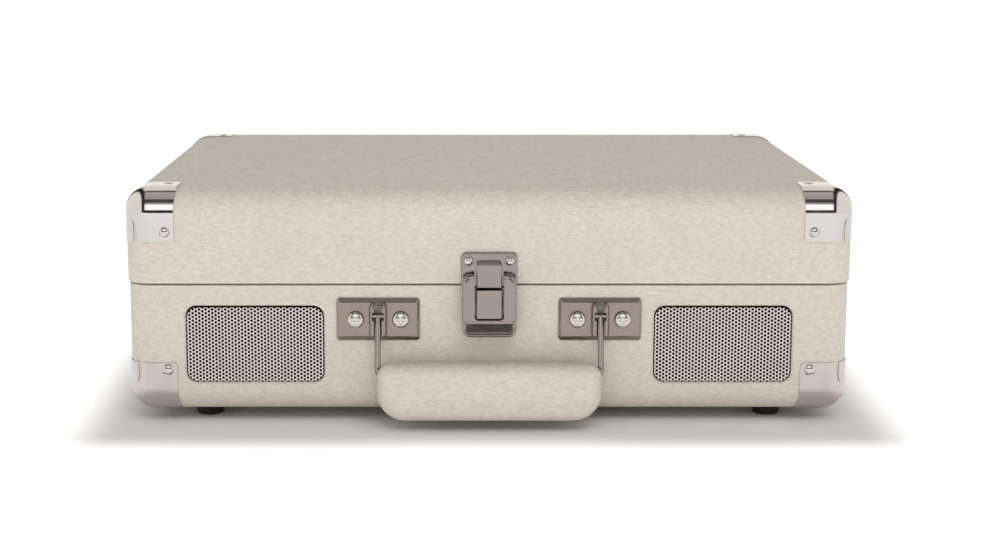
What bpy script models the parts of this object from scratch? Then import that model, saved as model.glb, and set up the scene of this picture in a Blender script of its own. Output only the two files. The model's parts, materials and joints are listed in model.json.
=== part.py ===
"""Suitcase record player: a hinged, covered box with a belt-driven turntable inside.

Frame: X to the right, -Y to the front, Z up, metres. The floor under the feet is z = 0 and the
origin is the middle of the bottom of the bounding box. Every piece is one closed solid.
"""

import math

import bmesh
import bpy
from mathutils import Matrix, Vector

MM = 0.001
SEAT = 0.3 * MM  # gap between pieces that rest on, or run past, each other

# ---- the case -------------------------------------------------------------------------------
CASE_WIDTH = 354 * MM
CASE_DEPTH = 265 * MM
BASE_HEIGHT = 63.6 * MM
LID_HEIGHT = 46.4 * MM
LID_OVERHANG = 0.6 * MM  # how far the lid stands proud of the base on each side
SEAM_GAP = 0.8 * MM
WALL = 7 * MM
FLOOR = 5 * MM
LID_TOP = 6 * MM
EDGE_RADIUS = 12 * MM
CORNER_BLOCK = 15 * MM
BLOCK_BITE = 1 * MM  # how far the glue blocks reach into the walls and the floor
LINING = 1.2 * MM

FOOT_HEIGHT = 6 * MM
FOOT_TOP_RADIUS = 7.5 * MM
FOOT_BOTTOM_RADIUS = 6.5 * MM
FOOT_INSET_X = 36.5 * MM
FOOT_INSET_Y = 24 * MM

CAP_REACH = 24 * MM
CAP_DROP = 25 * MM
CAP_SHEET = 0.7 * MM

# ---- the front ------------------------------------------------------------------------------
GRILLE_WIDTH = 68 * MM
GRILLE_HEIGHT = 38.5 * MM
GRILLE_X = 114.7 * MM
GRILLE_Z = 40.2 * MM
GRILLE_CORNER = 5 * MM
GRILLE_SHEET = 0.8 * MM
GRILLE_RECESS = 1.2 * MM
SPEAKER_RADIUS = 21.5 * MM
SPEAKER_DEPTH = 20 * MM
MAGNET_RADIUS = 12 * MM

PLATE_X = 54.2 * MM
PLATE_Z = 53 * MM
PLATE_WIDTH = 41 * MM
PLATE_HEIGHT = 22 * MM
PLATE_SHEET = 2.2 * MM
PLATE_SLOPE = 1.4 * MM
SCREW_X = 11 * MM
SCREW_RADIUS = 4 * MM
SCREW_HEIGHT = 2 * MM
BRIDGE_WIDTH = 9 * MM
BRIDGE_HEIGHT = 19 * MM
BRIDGE_OUT = 6.2 * MM
PIVOT_Z = 55 * MM
PIVOT_OUT = 3.4 * MM
WIRE_RADIUS = 1.5 * MM
CROSSBAR_RADIUS = 1.35 * MM
CROSSBAR_HALF = 2.8 * MM
BAIL_BEND = 12 * MM
BAIL_SHARE = 0.62  # how high in the grip the bail runs, as a share of the grip's height
GRIP_WIDTH = 109 * MM
GRIP_HEIGHT = 27.5 * MM
GRIP_DEPTH = 19 * MM
GRIP_BOTTOM = 5.5 * MM
GRIP_STANDOFF = 3 * MM
GRIP_TOP_CORNER = 5 * MM
GRIP_BOTTOM_CORNER = 16 * MM
GRIP_EDGE = 4.6 * MM

STRIKE_WIDTH = 28.2 * MM
STRIKE_RISE = 15.8 * MM  # this and the next five heights count from the lid's edge
STRIKE_SHEET = 1.2 * MM
CATCH_WIDTH = 12.8 * MM
CATCH_RISE = 12 * MM
CATCH_OUT = 7.4 * MM
CATCH_LAP = 1.3 * MM  # how far the catch hangs below the lid's edge
LEVER_WIDTH = 26.4 * MM
LEVER_RISE = 5.8 * MM
LEVER_DROP = 24.7 * MM
LEVER_OUT = 8.4 * MM
LEVER_SHEET = 1.5 * MM
LEVER_LIP = 2.2 * MM
LEVER_ROLL = 1 * MM
WINDOW_WIDTH = 14.8 * MM
WINDOW_DROP = 16.9 * MM
LATCH_PIVOT_RISE = 3.8 * MM
LATCH_PIVOT_OUT = 4.6 * MM
LATCH_PIN_RADIUS = 1 * MM
EAR_RADIUS = 2 * MM  # round top of each ear, inside the swinging lever
EAR_HEIGHT = 8 * MM
EAR_INNER = 8.6 * MM
EAR_OUTER = 11.4 * MM

# ---- the back -------------------------------------------------------------------------------
HINGE_X = 105 * MM
HINGE_WIDTH = 32 * MM
HINGE_LEAF = 17 * MM
HINGE_SHEET = 1.2 * MM
KNUCKLE_RADIUS = 2.6 * MM
HINGE_PIN_RADIUS = 1.2 * MM
KNUCKLE_GAP = 0.4 * MM
JACK_X = 70 * MM
JACK_Z = 34 * MM
JACK_OPENING_WIDTH = 54 * MM
JACK_OPENING_HEIGHT = 20 * MM
JACK_LIP = 5 * MM
JACK_SHEET = 2 * MM
JACK_LENGTH = 3.6 * MM
JACK_RADIUS = 4.2 * MM
JACK_PITCH = 15 * MM

# ---- the deck -------------------------------------------------------------------------------
DECK_DROP = 4 * MM
DECK_SHEET = 2.5 * MM
DECK_CORNER = 6 * MM
WELL_DEPTH = 7 * MM
WELL_GAP = 3 * MM
PLATTER_X = -52 * MM
PLATTER_Y = -8 * MM
PLATTER_RADIUS = 98 * MM
PLATTER_RISE = 7 * MM  # top of the platter above the deck
PLATTER_SHEET = 2 * MM
PLATTER_SKIRT = 10 * MM
RIM_WALL = 3 * MM
RING_MARGIN = 38 * MM
RING_WALL = 3 * MM
HUB_RADIUS = 8 * MM
MAT_MARGIN = 3 * MM  # this and the next two are measured in from the platter's edge
MAT_SHEET = 1.6 * MM
MAT_HOLE = 9 * MM
SPINDLE_RADIUS = 3.55 * MM
SPINDLE_RISE = 12 * MM
RECORD_SHEET = 2 * MM
PULLEY_RADIUS = 4.5 * MM
PULLEY_MARGIN = 14 * MM
PULLEY_BEARING = math.radians(135)
MOTOR_RADIUS = 16 * MM
MOTOR_HEIGHT = 24 * MM
MOTOR_SHAFT = 1 * MM
BELT_HEIGHT = 4 * MM
BELT_SHEET = 0.7 * MM

ARM_X = 95 * MM
ARM_Y = 67 * MM
ARM_AXIS_RISE = 24.4 * MM  # tonearm's tilt axis above the deck
ARM_LENGTH = 180 * MM
ARM_RADIUS = 4 * MM
TURRET_RADIUS = 17 * MM
TURRET_HEIGHT = 14 * MM
YOKE_RADIUS = 13 * MM
YOKE_DISC = 2.6 * MM
YOKE_SHAFT = 3 * MM
CHEEK_INNER = 6 * MM
CHEEK_SHEET = 3 * MM
TRUNNION_RADIUS = 1.5 * MM
COUNTERWEIGHT_RADIUS = 8 * MM
COUNTERWEIGHT_LENGTH = 16 * MM
COUNTERWEIGHT_GAP = 2 * MM  # between the yoke's disc and the counterweight
HEADSHELL_LENGTH = 34 * MM
HEADSHELL_WIDTH = 18 * MM
HEADSHELL_SHEET = 4.5 * MM
CARTRIDGE_WIDTH = 11 * MM
CARTRIDGE_LENGTH = 20 * MM
CARTRIDGE_HEIGHT = 7 * MM
REST_Y = -43 * MM
REST_WIDTH = 11 * MM
CLIP_LENGTH = 12 * MM
CUE_X = 25 * MM
CUE_LEVER_LENGTH = 34 * MM
CUE_SHAFT = 2 * MM
CUE_AXIS_RISE = 8 * MM
CUE_BRACKET_HALF = 5 * MM
CUE_BRACKET_HEIGHT = 12 * MM
CHEEK_HALF = 5 * MM
CHEEK_ABOVE = 4.5 * MM
HEADSHELL_AHEAD = 6 * MM  # headshell and cartridge reach this far past the stylus
CARTRIDGE_AHEAD = 4 * MM
STYLUS_HALF = 3 * MM
REST_WALL = 5 * MM
CLIP_PIN = 1 * MM
CLIP_RISE = 1.5 * MM
REST_GAP = 0.8 * MM
HEADSHELL_LAP = 0.5 * MM
CLIP_HALF = 1.4 * MM

KNOB_X = 142 * MM
VOLUME_Y = -96 * MM
VOLUME_RADIUS = 9 * MM
VOLUME_HEIGHT = 10 * MM
KNOB_SHAFT = 3 * MM
MARK_HALF = 0.5 * MM
MARK_DEPTH = 0.6 * MM
PHONES_BORE = 1.9 * MM
PHONES_BARREL = 3.5 * MM
PHONES_NUT = 5 * MM
PHONES_FLANGE = 1.2 * MM
PHONES_DEPTH = 14 * MM
BUTTON_HALF_X = 4 * MM
BUTTON_HALF_Y = 3 * MM
BUTTON_RISE = 4 * MM
STEM_HALF = 1.5 * MM
STEM_DEPTH = 6 * MM
SLOT_ROOM = 2 * MM
PHONES_Y = -66 * MM
AUTO_STOP_Y = -20 * MM
AUTO_STOP_TRAVEL = 5 * MM
SPEED_X = -140 * MM
SPEED_Y = 92 * MM
SPEED_TRAVEL = 12 * MM
ADAPTER_X = -141 * MM
ADAPTER_Y = -98 * MM
ADAPTER_RADIUS = 19 * MM
ADAPTER_HEIGHT = 4 * MM
ADAPTER_WELL = 1.2 * MM

BOARD_X = 95 * MM
BOARD_Y = -20 * MM
BOARD_WIDTH = 80 * MM
BOARD_DEPTH = 54 * MM
BOARD_SHEET = 1.6 * MM
BOARD_STAND = 6 * MM
STAND_RADIUS = 2.5 * MM
SPEAKER_FLANGE = 1.5 * MM
WIRE_ROOM = 0.4 * MM
CATCH_ROUND = 0.8 * MM
LINE_BORE = 1.7 * MM
POWER_BORE = 2.8 * MM
JACK_DEPTH = 4 * MM
RING_DROP = 1.5 * MM
HUB_RISE = 3 * MM
BOARD_PARTS = (  # name, place along x and y, half width and height, in mm
    ("capacitor", -22, 8, 5, 12),
    ("regulator", 5, -10, 6, 9),
    ("amplifier", 22, 6, 8, 4),
)

# ---- places worked out from the sizes ---------------------------------------------------------
FRONT_REACH = GRIP_STANDOFF + GRIP_DEPTH
REAR_REACH = LID_OVERHANG + 2 * SEAT + 2 * KNUCKLE_RADIUS
CASE_Y = (FRONT_REACH - REAR_REACH) / 2
FRONT_Y = CASE_Y - CASE_DEPTH / 2
REAR_Y = CASE_Y + CASE_DEPTH / 2
BASE_TOP = FOOT_HEIGHT + BASE_HEIGHT
LID_BOTTOM = BASE_TOP + SEAM_GAP
LID_TOP_Z = LID_BOTTOM + LID_HEIGHT
STRIKE_TOP_Z = LID_BOTTOM + STRIKE_RISE
CATCH_TOP_Z = LID_BOTTOM + CATCH_RISE
LEVER_TOP_Z = LID_BOTTOM + LEVER_RISE
LEVER_BOTTOM_Z = LID_BOTTOM - LEVER_DROP
WINDOW_BOTTOM_Z = LID_BOTTOM - WINDOW_DROP
LATCH_PIVOT_Z = LID_BOTTOM + LATCH_PIVOT_RISE
FLOOR_Z = FOOT_HEIGHT + FLOOR
DECK_Z = BASE_TOP - DECK_DROP
WELL_Z = DECK_Z - WELL_DEPTH
PLATTER_Z = DECK_Z + PLATTER_RISE
MAT_TOP = PLATTER_Z + SEAT + MAT_SHEET
RECORD_TOP = MAT_TOP + RECORD_SHEET
ARM_AXIS_Z = DECK_Z + ARM_AXIS_RISE
PLATTER_CENTRE = (PLATTER_X, CASE_Y + PLATTER_Y)
MAT_RADIUS = PLATTER_RADIUS - MAT_MARGIN
RING_RADIUS = PLATTER_RADIUS - RING_MARGIN
PULLEY_DISTANCE = PLATTER_RADIUS - PULLEY_MARGIN
PULLEY_CENTRE = (
    PLATTER_CENTRE[0] + PULLEY_DISTANCE * math.cos(PULLEY_BEARING),
    PLATTER_CENTRE[1] + PULLEY_DISTANCE * math.sin(PULLEY_BEARING),
)
BELT_Z = WELL_Z + 4.5 * MM
ARM_PIVOT = (ARM_X, CASE_Y + ARM_Y)
HINGE_AXIS_Y = REAR_Y + LID_OVERHANG + 2 * SEAT + KNUCKLE_RADIUS
HINGE_AXIS_Z = BASE_TOP + SEAM_GAP / 2


# ---- tools ------------------------------------------------------------------------------------
def clear_scene():
    for old in list(bpy.data.objects):
        bpy.data.objects.remove(old, do_unlink=True)


def new_collection(name):
    made = bpy.data.collections.new(name)
    bpy.context.scene.collection.children.link(made)
    return made


clear_scene()
PLAYER = new_collection("suitcase_record_player")
CUTTERS = new_collection("cutters")


def finish_material(name, colour, roughness, metallic=0.0):
    """One Principled finish; colour is linear red, green and blue."""
    made = bpy.data.materials.new(name)
    made.use_nodes = True
    shader = made.node_tree.nodes["Principled BSDF"]
    shader.inputs["Base Color"].default_value = (*colour, 1)
    shader.inputs["Roughness"].default_value = roughness
    shader.inputs["Metallic"].default_value = metallic
    made.diffuse_color = (*colour, 1)
    return made


LEATHERETTE = finish_material("leatherette", (0.62, 0.56, 0.48), 0.55)
LINING_PAPER = finish_material("lining", (0.09, 0.085, 0.08), 0.8)
CHROME = finish_material("chrome", (0.72, 0.71, 0.7), 0.12, 1)
SATIN_STEEL = finish_material("satin_steel", (0.45, 0.43, 0.42), 0.3, 1)
PLASTIC = finish_material("black_plastic", (0.025, 0.025, 0.027), 0.4)
RUBBER = finish_material("rubber", (0.02, 0.02, 0.02), 0.8)
FELT = finish_material("felt", (0.03, 0.03, 0.03), 0.95)
PAPER_CONE = finish_material("cone_paper", (0.05, 0.05, 0.05), 0.9)
BOARD_GREEN = finish_material("board", (0.05, 0.16, 0.07), 0.5)
RED_PLASTIC = finish_material("red_plastic", (0.5, 0.03, 0.03), 0.35)
WHITE_PLASTIC = finish_material("white_plastic", (0.75, 0.75, 0.72), 0.35)


def add_object(name, mesh, finish, place=(0, 0, 0)):
    """Puts a mesh in the scene as a piece, or as a cutter where it has no finish."""
    made = bpy.data.objects.new(name, mesh)
    made.location = place
    if finish:
        mesh.materials.append(finish)
        PLAYER.objects.link(made)
    else:
        made.hide_render = True
        made.display_type = "WIRE"
        CUTTERS.objects.link(made)
    return made


def mesh_from(bm, name):
    bmesh.ops.recalc_face_normals(bm, faces=bm.faces)
    mesh = bpy.data.meshes.new(name)
    bm.to_mesh(mesh)
    bm.free()
    return mesh


def block(name, low, high, finish=None, radius=0.0, along=None, segments=4, origin=(0, 0, 0)):
    """Box between two corners; along gives the axes whose edges are rounded by radius."""
    low, high, origin = Vector(low), Vector(high), Vector(origin)
    bm = bmesh.new()
    bmesh.ops.create_cube(bm, size=1)
    bmesh.ops.scale(bm, vec=high - low, verts=bm.verts)
    bmesh.ops.translate(bm, vec=(low + high) / 2 - origin, verts=bm.verts)
    if radius:
        edges = []
        for edge in bm.edges:
            way = edge.verts[1].co - edge.verts[0].co
            if max(range(3), key=lambda k: abs(way[k])) in along:
                edges.append(edge)
        bmesh.ops.bevel(bm, geom=edges, offset=radius, segments=segments, profile=0.5, affect="EDGES")
    return add_object(name, mesh_from(bm, name), finish, origin)


def case_block(name, low, high, radius, finish=None, open_side=None, segments=5):
    """Box with every edge rounded, except those of the side named open_side (top or bottom)."""
    low, high = Vector(low), Vector(high)
    bm = bmesh.new()
    bmesh.ops.create_cube(bm, size=1)
    bmesh.ops.scale(bm, vec=high - low, verts=bm.verts)
    bmesh.ops.translate(bm, vec=(low + high) / 2, verts=bm.verts)
    middle = (low.z + high.z) / 2
    edges = []
    for edge in bm.edges:
        heights = [v.co.z - middle for v in edge.verts]
        on_top = min(heights) > 0
        on_bottom = max(heights) < 0
        if (open_side == "top" and on_top) or (open_side == "bottom" and on_bottom):
            continue
        edges.append(edge)
    bmesh.ops.bevel(bm, geom=edges, offset=radius, segments=segments, profile=0.5, affect="EDGES")
    return add_object(name, mesh_from(bm, name), finish)


def turned(name, profile, place, finish=None, steps=32, along="Z"):
    """Solid of revolution; profile runs down the outer side as (radius, height) pairs.

    A profile that returns to its first point makes a ring with a bore.
    """
    bm = bmesh.new()
    verts = [bm.verts.new((r, 0, h)) for r, h in profile]
    for a, b in zip(verts, verts[1:]):
        bm.edges.new((a, b))
    if profile[0][0] > 0:
        bm.edges.new((verts[-1], verts[0]))
    mesh = bpy.data.meshes.new(name)
    bm.to_mesh(mesh)
    bm.free()
    made = add_object(name, mesh, finish, place)
    turns = {"Z": (0, 0, 0), "Y": (math.pi / 2, 0, 0), "X": (0, math.pi / 2, 0)}
    made.rotation_euler = turns[along]
    screw = made.modifiers.new("turn", "SCREW")
    screw.steps = steps
    screw.render_steps = steps
    screw.use_merge_vertices = True
    screw.merge_threshold = 0.00001
    return made


def rod(name, radius, start, end, finish=None, sides=24, origin=(0, 0, 0)):
    """Round bar from start to end."""
    start, end, origin = Vector(start), Vector(end), Vector(origin)
    way = end - start
    bm = bmesh.new()
    bmesh.ops.create_cone(
        bm, cap_ends=True, segments=sides, radius1=radius, radius2=radius, depth=way.length,
        matrix=Matrix.Translation((start + end) / 2 - origin)
        @ way.to_track_quat("Z", "Y").to_matrix().to_4x4(),
    )
    return add_object(name, mesh_from(bm, name), finish, origin)


def flat(name, outline, thickness, place, finish=None, stand=False, holes=(), origin=(0, 0, 0)):
    """Flat piece cut to an outline. Lying, it spans z to z + thickness; standing, it faces -Y."""
    curve = bpy.data.curves.new(name, "CURVE")
    curve.dimensions = "2D"
    curve.fill_mode = "BOTH"
    curve.extrude = thickness / 2
    for points in (outline, *holes):
        spline = curve.splines.new("POLY")
        spline.points.add(len(points) - 1)
        for point, (x, y) in zip(spline.points, points):
            point.co = (x, y, 0, 1)
        spline.use_cyclic_u = True
    return curve_to_mesh(name, curve, place, thickness, finish, stand, origin)


def curve_to_mesh(name, curve, place, thickness, finish, stand, origin):
    """Turns a curve into a welded mesh and puts it in place."""
    guide = bpy.data.objects.new(name + "_guide", curve)
    CUTTERS.objects.link(guide)
    bpy.context.view_layer.update()
    evaluated = guide.evaluated_get(bpy.context.evaluated_depsgraph_get())
    mesh = bpy.data.meshes.new_from_object(evaluated)
    bpy.data.objects.remove(guide)
    bm = bmesh.new()
    bm.from_mesh(mesh)
    bmesh.ops.remove_doubles(bm, verts=bm.verts, dist=0.000001)
    if stand:
        bmesh.ops.rotate(bm, matrix=Matrix.Rotation(math.pi / 2, 3, "X"), verts=bm.verts)
        shift = Vector((0, -thickness / 2, 0))
    else:
        shift = Vector((0, 0, thickness / 2))
    bmesh.ops.translate(bm, vec=Vector(place) + shift - Vector(origin), verts=bm.verts)
    bm.to_mesh(mesh)
    bm.free()
    mesh.name = name
    return add_object(name, mesh, finish, origin)


def wire(name, points, radius, finish=None, origin=(0, 0, 0), resolution=3):
    """Round wire along a list of points, as a welded mesh."""
    curve = bpy.data.curves.new(name, "CURVE")
    curve.dimensions = "3D"
    curve.bevel_depth = radius
    curve.bevel_resolution = resolution
    curve.use_fill_caps = True
    spline = curve.splines.new("POLY")
    spline.points.add(len(points) - 1)
    for point, place in zip(spline.points, points):
        point.co = (*place, 1)
    return curve_to_mesh(name, curve, (0, 0, 0), 0, finish, False, origin)


def arc(cx, cy, radius, start, end, steps):
    """Points on a circle's arc, in degrees."""
    angles = [math.radians(start + (end - start) * i / steps) for i in range(steps + 1)]
    return [(cx + radius * math.cos(a), cy + radius * math.sin(a)) for a in angles]


def rounded(width, height, radii, steps=4):
    """Outline of a rectangle about (0, 0); radii are for the top right corner, then anticlockwise."""
    corners = [(1, 1, 0), (-1, 1, 90), (-1, -1, 180), (1, -1, 270)]
    outline = []
    for (sx, sy, start), radius in zip(corners, radii):
        cx = sx * (width / 2 - radius)
        cy = sy * (height / 2 - radius)
        outline += arc(cx, cy, radius, start, start + 90, steps)
    return outline


def combine(target, tool, operation):
    """Cuts, joins or intersects a piece with a tool, which then stays out of the build."""
    if tool.name in PLAYER.objects:
        PLAYER.objects.unlink(tool)
        CUTTERS.objects.link(tool)
        tool.hide_render = True
        tool.display_type = "WIRE"
    change = target.modifiers.new(tool.name, "BOOLEAN")
    change.operation = operation
    change.object = tool
    change.solver = "EXACT"


def cut(target, tool):
    combine(target, tool, "DIFFERENCE")


def join(target, tool):
    combine(target, tool, "UNION")


def keep(target, tool):
    combine(target, tool, "INTERSECT")


def smooth(piece, degrees=35):
    """Smooth shading with sharp edges kept."""
    piece.data.shade_smooth()
    piece.data.set_sharp_from_angle(angle=math.radians(degrees))


# ---- case ---------------------------------------------------------------------------------------
def build_base():
    """Open box of covered board, with glue blocks, two speaker holes and a hole for the sockets."""
    half_x = CASE_WIDTH / 2
    shell = case_block(
        "base_shell", (-half_x, FRONT_Y, FOOT_HEIGHT), (half_x, REAR_Y, BASE_TOP), EDGE_RADIUS,
        LEATHERETTE, "top",
    )
    inner = EDGE_RADIUS - WALL
    cut(shell, block(
        "base_hollow", (-half_x + WALL, FRONT_Y + WALL, FLOOR_Z),
        (half_x - WALL, REAR_Y - WALL, BASE_TOP + WALL), None, inner, (2,),
    ))
    for side in (-1, 1):
        for end, wall_y in (("front", FRONT_Y + WALL), ("rear", REAR_Y - WALL)):
            toward = 1 if end == "front" else -1
            x_wall = side * (half_x - WALL + BLOCK_BITE)
            x_free = side * (half_x - WALL - CORNER_BLOCK)
            y_wall = wall_y - toward * BLOCK_BITE
            y_free = wall_y + toward * CORNER_BLOCK
            join(shell, block(
                f"glue_block_{end}_{side}",
                (min(x_wall, x_free), min(y_wall, y_free), FLOOR_Z - BLOCK_BITE),
                (max(x_wall, x_free), max(y_wall, y_free), DECK_Z - DECK_SHEET - SEAT),
            ))
        outline = rounded(GRILLE_WIDTH, GRILLE_HEIGHT, [GRILLE_CORNER] * 4)
        cut(shell, flat(
            f"speaker_hole_{side}", outline, 3 * WALL,
            (side * GRILLE_X, FRONT_Y + 2 * WALL, GRILLE_Z), None, True,
        ))
    cut(shell, block(
        "socket_hole",
        (JACK_X - JACK_OPENING_WIDTH / 2, REAR_Y - 2 * WALL, JACK_Z - JACK_OPENING_HEIGHT / 2),
        (JACK_X + JACK_OPENING_WIDTH / 2, REAR_Y + WALL, JACK_Z + JACK_OPENING_HEIGHT / 2),
        None, 2 * MM, (1,),
    ))
    smooth(shell)


def build_lid():
    """Covered lid, its lining, and both sets of corner caps."""
    half_x = CASE_WIDTH / 2 + LID_OVERHANG
    front = FRONT_Y - LID_OVERHANG
    rear = REAR_Y + LID_OVERHANG
    shell = case_block(
        "lid_shell", (-half_x, front, LID_BOTTOM), (half_x, rear, LID_TOP_Z), EDGE_RADIUS,
        LEATHERETTE, "bottom",
    )
    inner_x = CASE_WIDTH / 2 - WALL
    cut(shell, block(
        "lid_hollow", (-inner_x, FRONT_Y + WALL, LID_BOTTOM - WALL),
        (inner_x, REAR_Y - WALL, LID_TOP_Z - LID_TOP), None, EDGE_RADIUS - WALL, (2,),
    ))
    smooth(shell)
    top = LID_TOP_Z - LID_TOP - SEAT
    block(
        "lid_lining", (-inner_x + SEAT, FRONT_Y + WALL + SEAT, top - LINING),
        (inner_x - SEAT, REAR_Y - WALL - SEAT, top), LINING_PAPER, EDGE_RADIUS - WALL, (2,),
    )


def corner_cap(name, side, end, level, half_x, front, rear, low, high, finish):
    """Pressed sheet cap over one corner of a rounded box: side and end are -1 or 1, level -1 or 1."""
    corner = Vector((side * half_x, rear if end > 0 else front, high if level > 0 else low))
    inward = Vector((-side, -end, -level))

    def grown(label, growth, piece_finish):
        outer = corner - inward * growth
        deep = corner + inward * 2.5 * CAP_REACH
        lows = [min(a, b) for a, b in zip(outer, deep)]
        highs = [max(a, b) for a, b in zip(outer, deep)]
        return case_block(label, lows, highs, EDGE_RADIUS + growth, piece_finish)

    cap = grown(name, SEAT + CAP_SHEET, finish)
    outer = corner - inward * WALL
    inner = Vector((
        corner.x - side * CAP_REACH, corner.y - end * CAP_REACH, corner.z - level * CAP_DROP,
    ))
    reach = block(
        name + "_reach",
        [min(a, b) for a, b in zip(outer, inner)],
        [max(a, b) for a, b in zip(outer, inner)],
    )
    keep(cap, reach)
    cut(cap, grown(name + "_inside", SEAT, None))
    smooth(cap)


def build_caps():
    """Sheet metal caps over the eight corners of the case."""
    half_base = CASE_WIDTH / 2
    half_lid = half_base + LID_OVERHANG
    for end, place in ((-1, "front"), (1, "rear")):
        for side, hand in ((-1, "left"), (1, "right")):
            corner_cap(
                f"lid_corner_{place}_{hand}", side, end, 1, half_lid, FRONT_Y - LID_OVERHANG,
                REAR_Y + LID_OVERHANG, LID_BOTTOM, LID_TOP_Z, CHROME,
            )
            corner_cap(
                f"base_corner_{place}_{hand}", side, end, -1, half_base, FRONT_Y, REAR_Y,
                FOOT_HEIGHT, BASE_TOP, SATIN_STEEL,
            )


def build_feet():
    """Four turned rubber feet under the base."""
    for y, place in ((FRONT_Y + FOOT_INSET_Y, "front"), (REAR_Y - FOOT_INSET_Y, "rear")):
        for side, hand in ((-1, "left"), (1, "right")):
            profile = [
                (0, FOOT_HEIGHT - SEAT), (FOOT_TOP_RADIUS, FOOT_HEIGHT - SEAT),
                (FOOT_BOTTOM_RADIUS, 0.5 * MM), (FOOT_BOTTOM_RADIUS - 0.5 * MM, 0), (0, 0),
            ]
            foot = turned(
                f"foot_{place}_{hand}", profile, (side * (CASE_WIDTH / 2 - FOOT_INSET_X), y, 0), RUBBER, 24,
            )
            smooth(foot)


# ---- front ----------------------------------------------------------------------------------------
def build_speakers():
    """Two cone speakers behind the grilles, turned about an axis that faces the front."""
    for side, hand in ((-1, "left"), (1, "right")):
        x = side * GRILLE_X
        outline = rounded(
            GRILLE_WIDTH - 2 * SEAT, GRILLE_HEIGHT - 2 * SEAT, [GRILLE_CORNER - SEAT] * 4,
        )
        flat(
            f"grille_{hand}", outline, GRILLE_SHEET,
            (x, FRONT_Y + GRILLE_RECESS + GRILLE_SHEET, GRILLE_Z), SATIN_STEEL, True,
        )
        flange = SPEAKER_FLANGE
        rim = SPEAKER_RADIUS - 2 * MM
        profile = [
            (rim, 0), (SPEAKER_RADIUS, 0), (SPEAKER_RADIUS, -flange), (rim, -flange),
            (MAGNET_RADIUS + 1 * MM, -SPEAKER_DEPTH * 0.6), (MAGNET_RADIUS, -SPEAKER_DEPTH),
            (0, -SPEAKER_DEPTH), (0, -SPEAKER_DEPTH * 0.55), (MAGNET_RADIUS * 0.5, -SPEAKER_DEPTH * 0.55),
        ]
        speaker = loop_turned(
            f"speaker_{hand}", profile, (x, FRONT_Y + WALL + SEAT, GRILLE_Z), PAPER_CONE, 24,
        )
        speaker.rotation_euler = (math.pi / 2, 0, 0)
        smooth(speaker)


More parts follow.
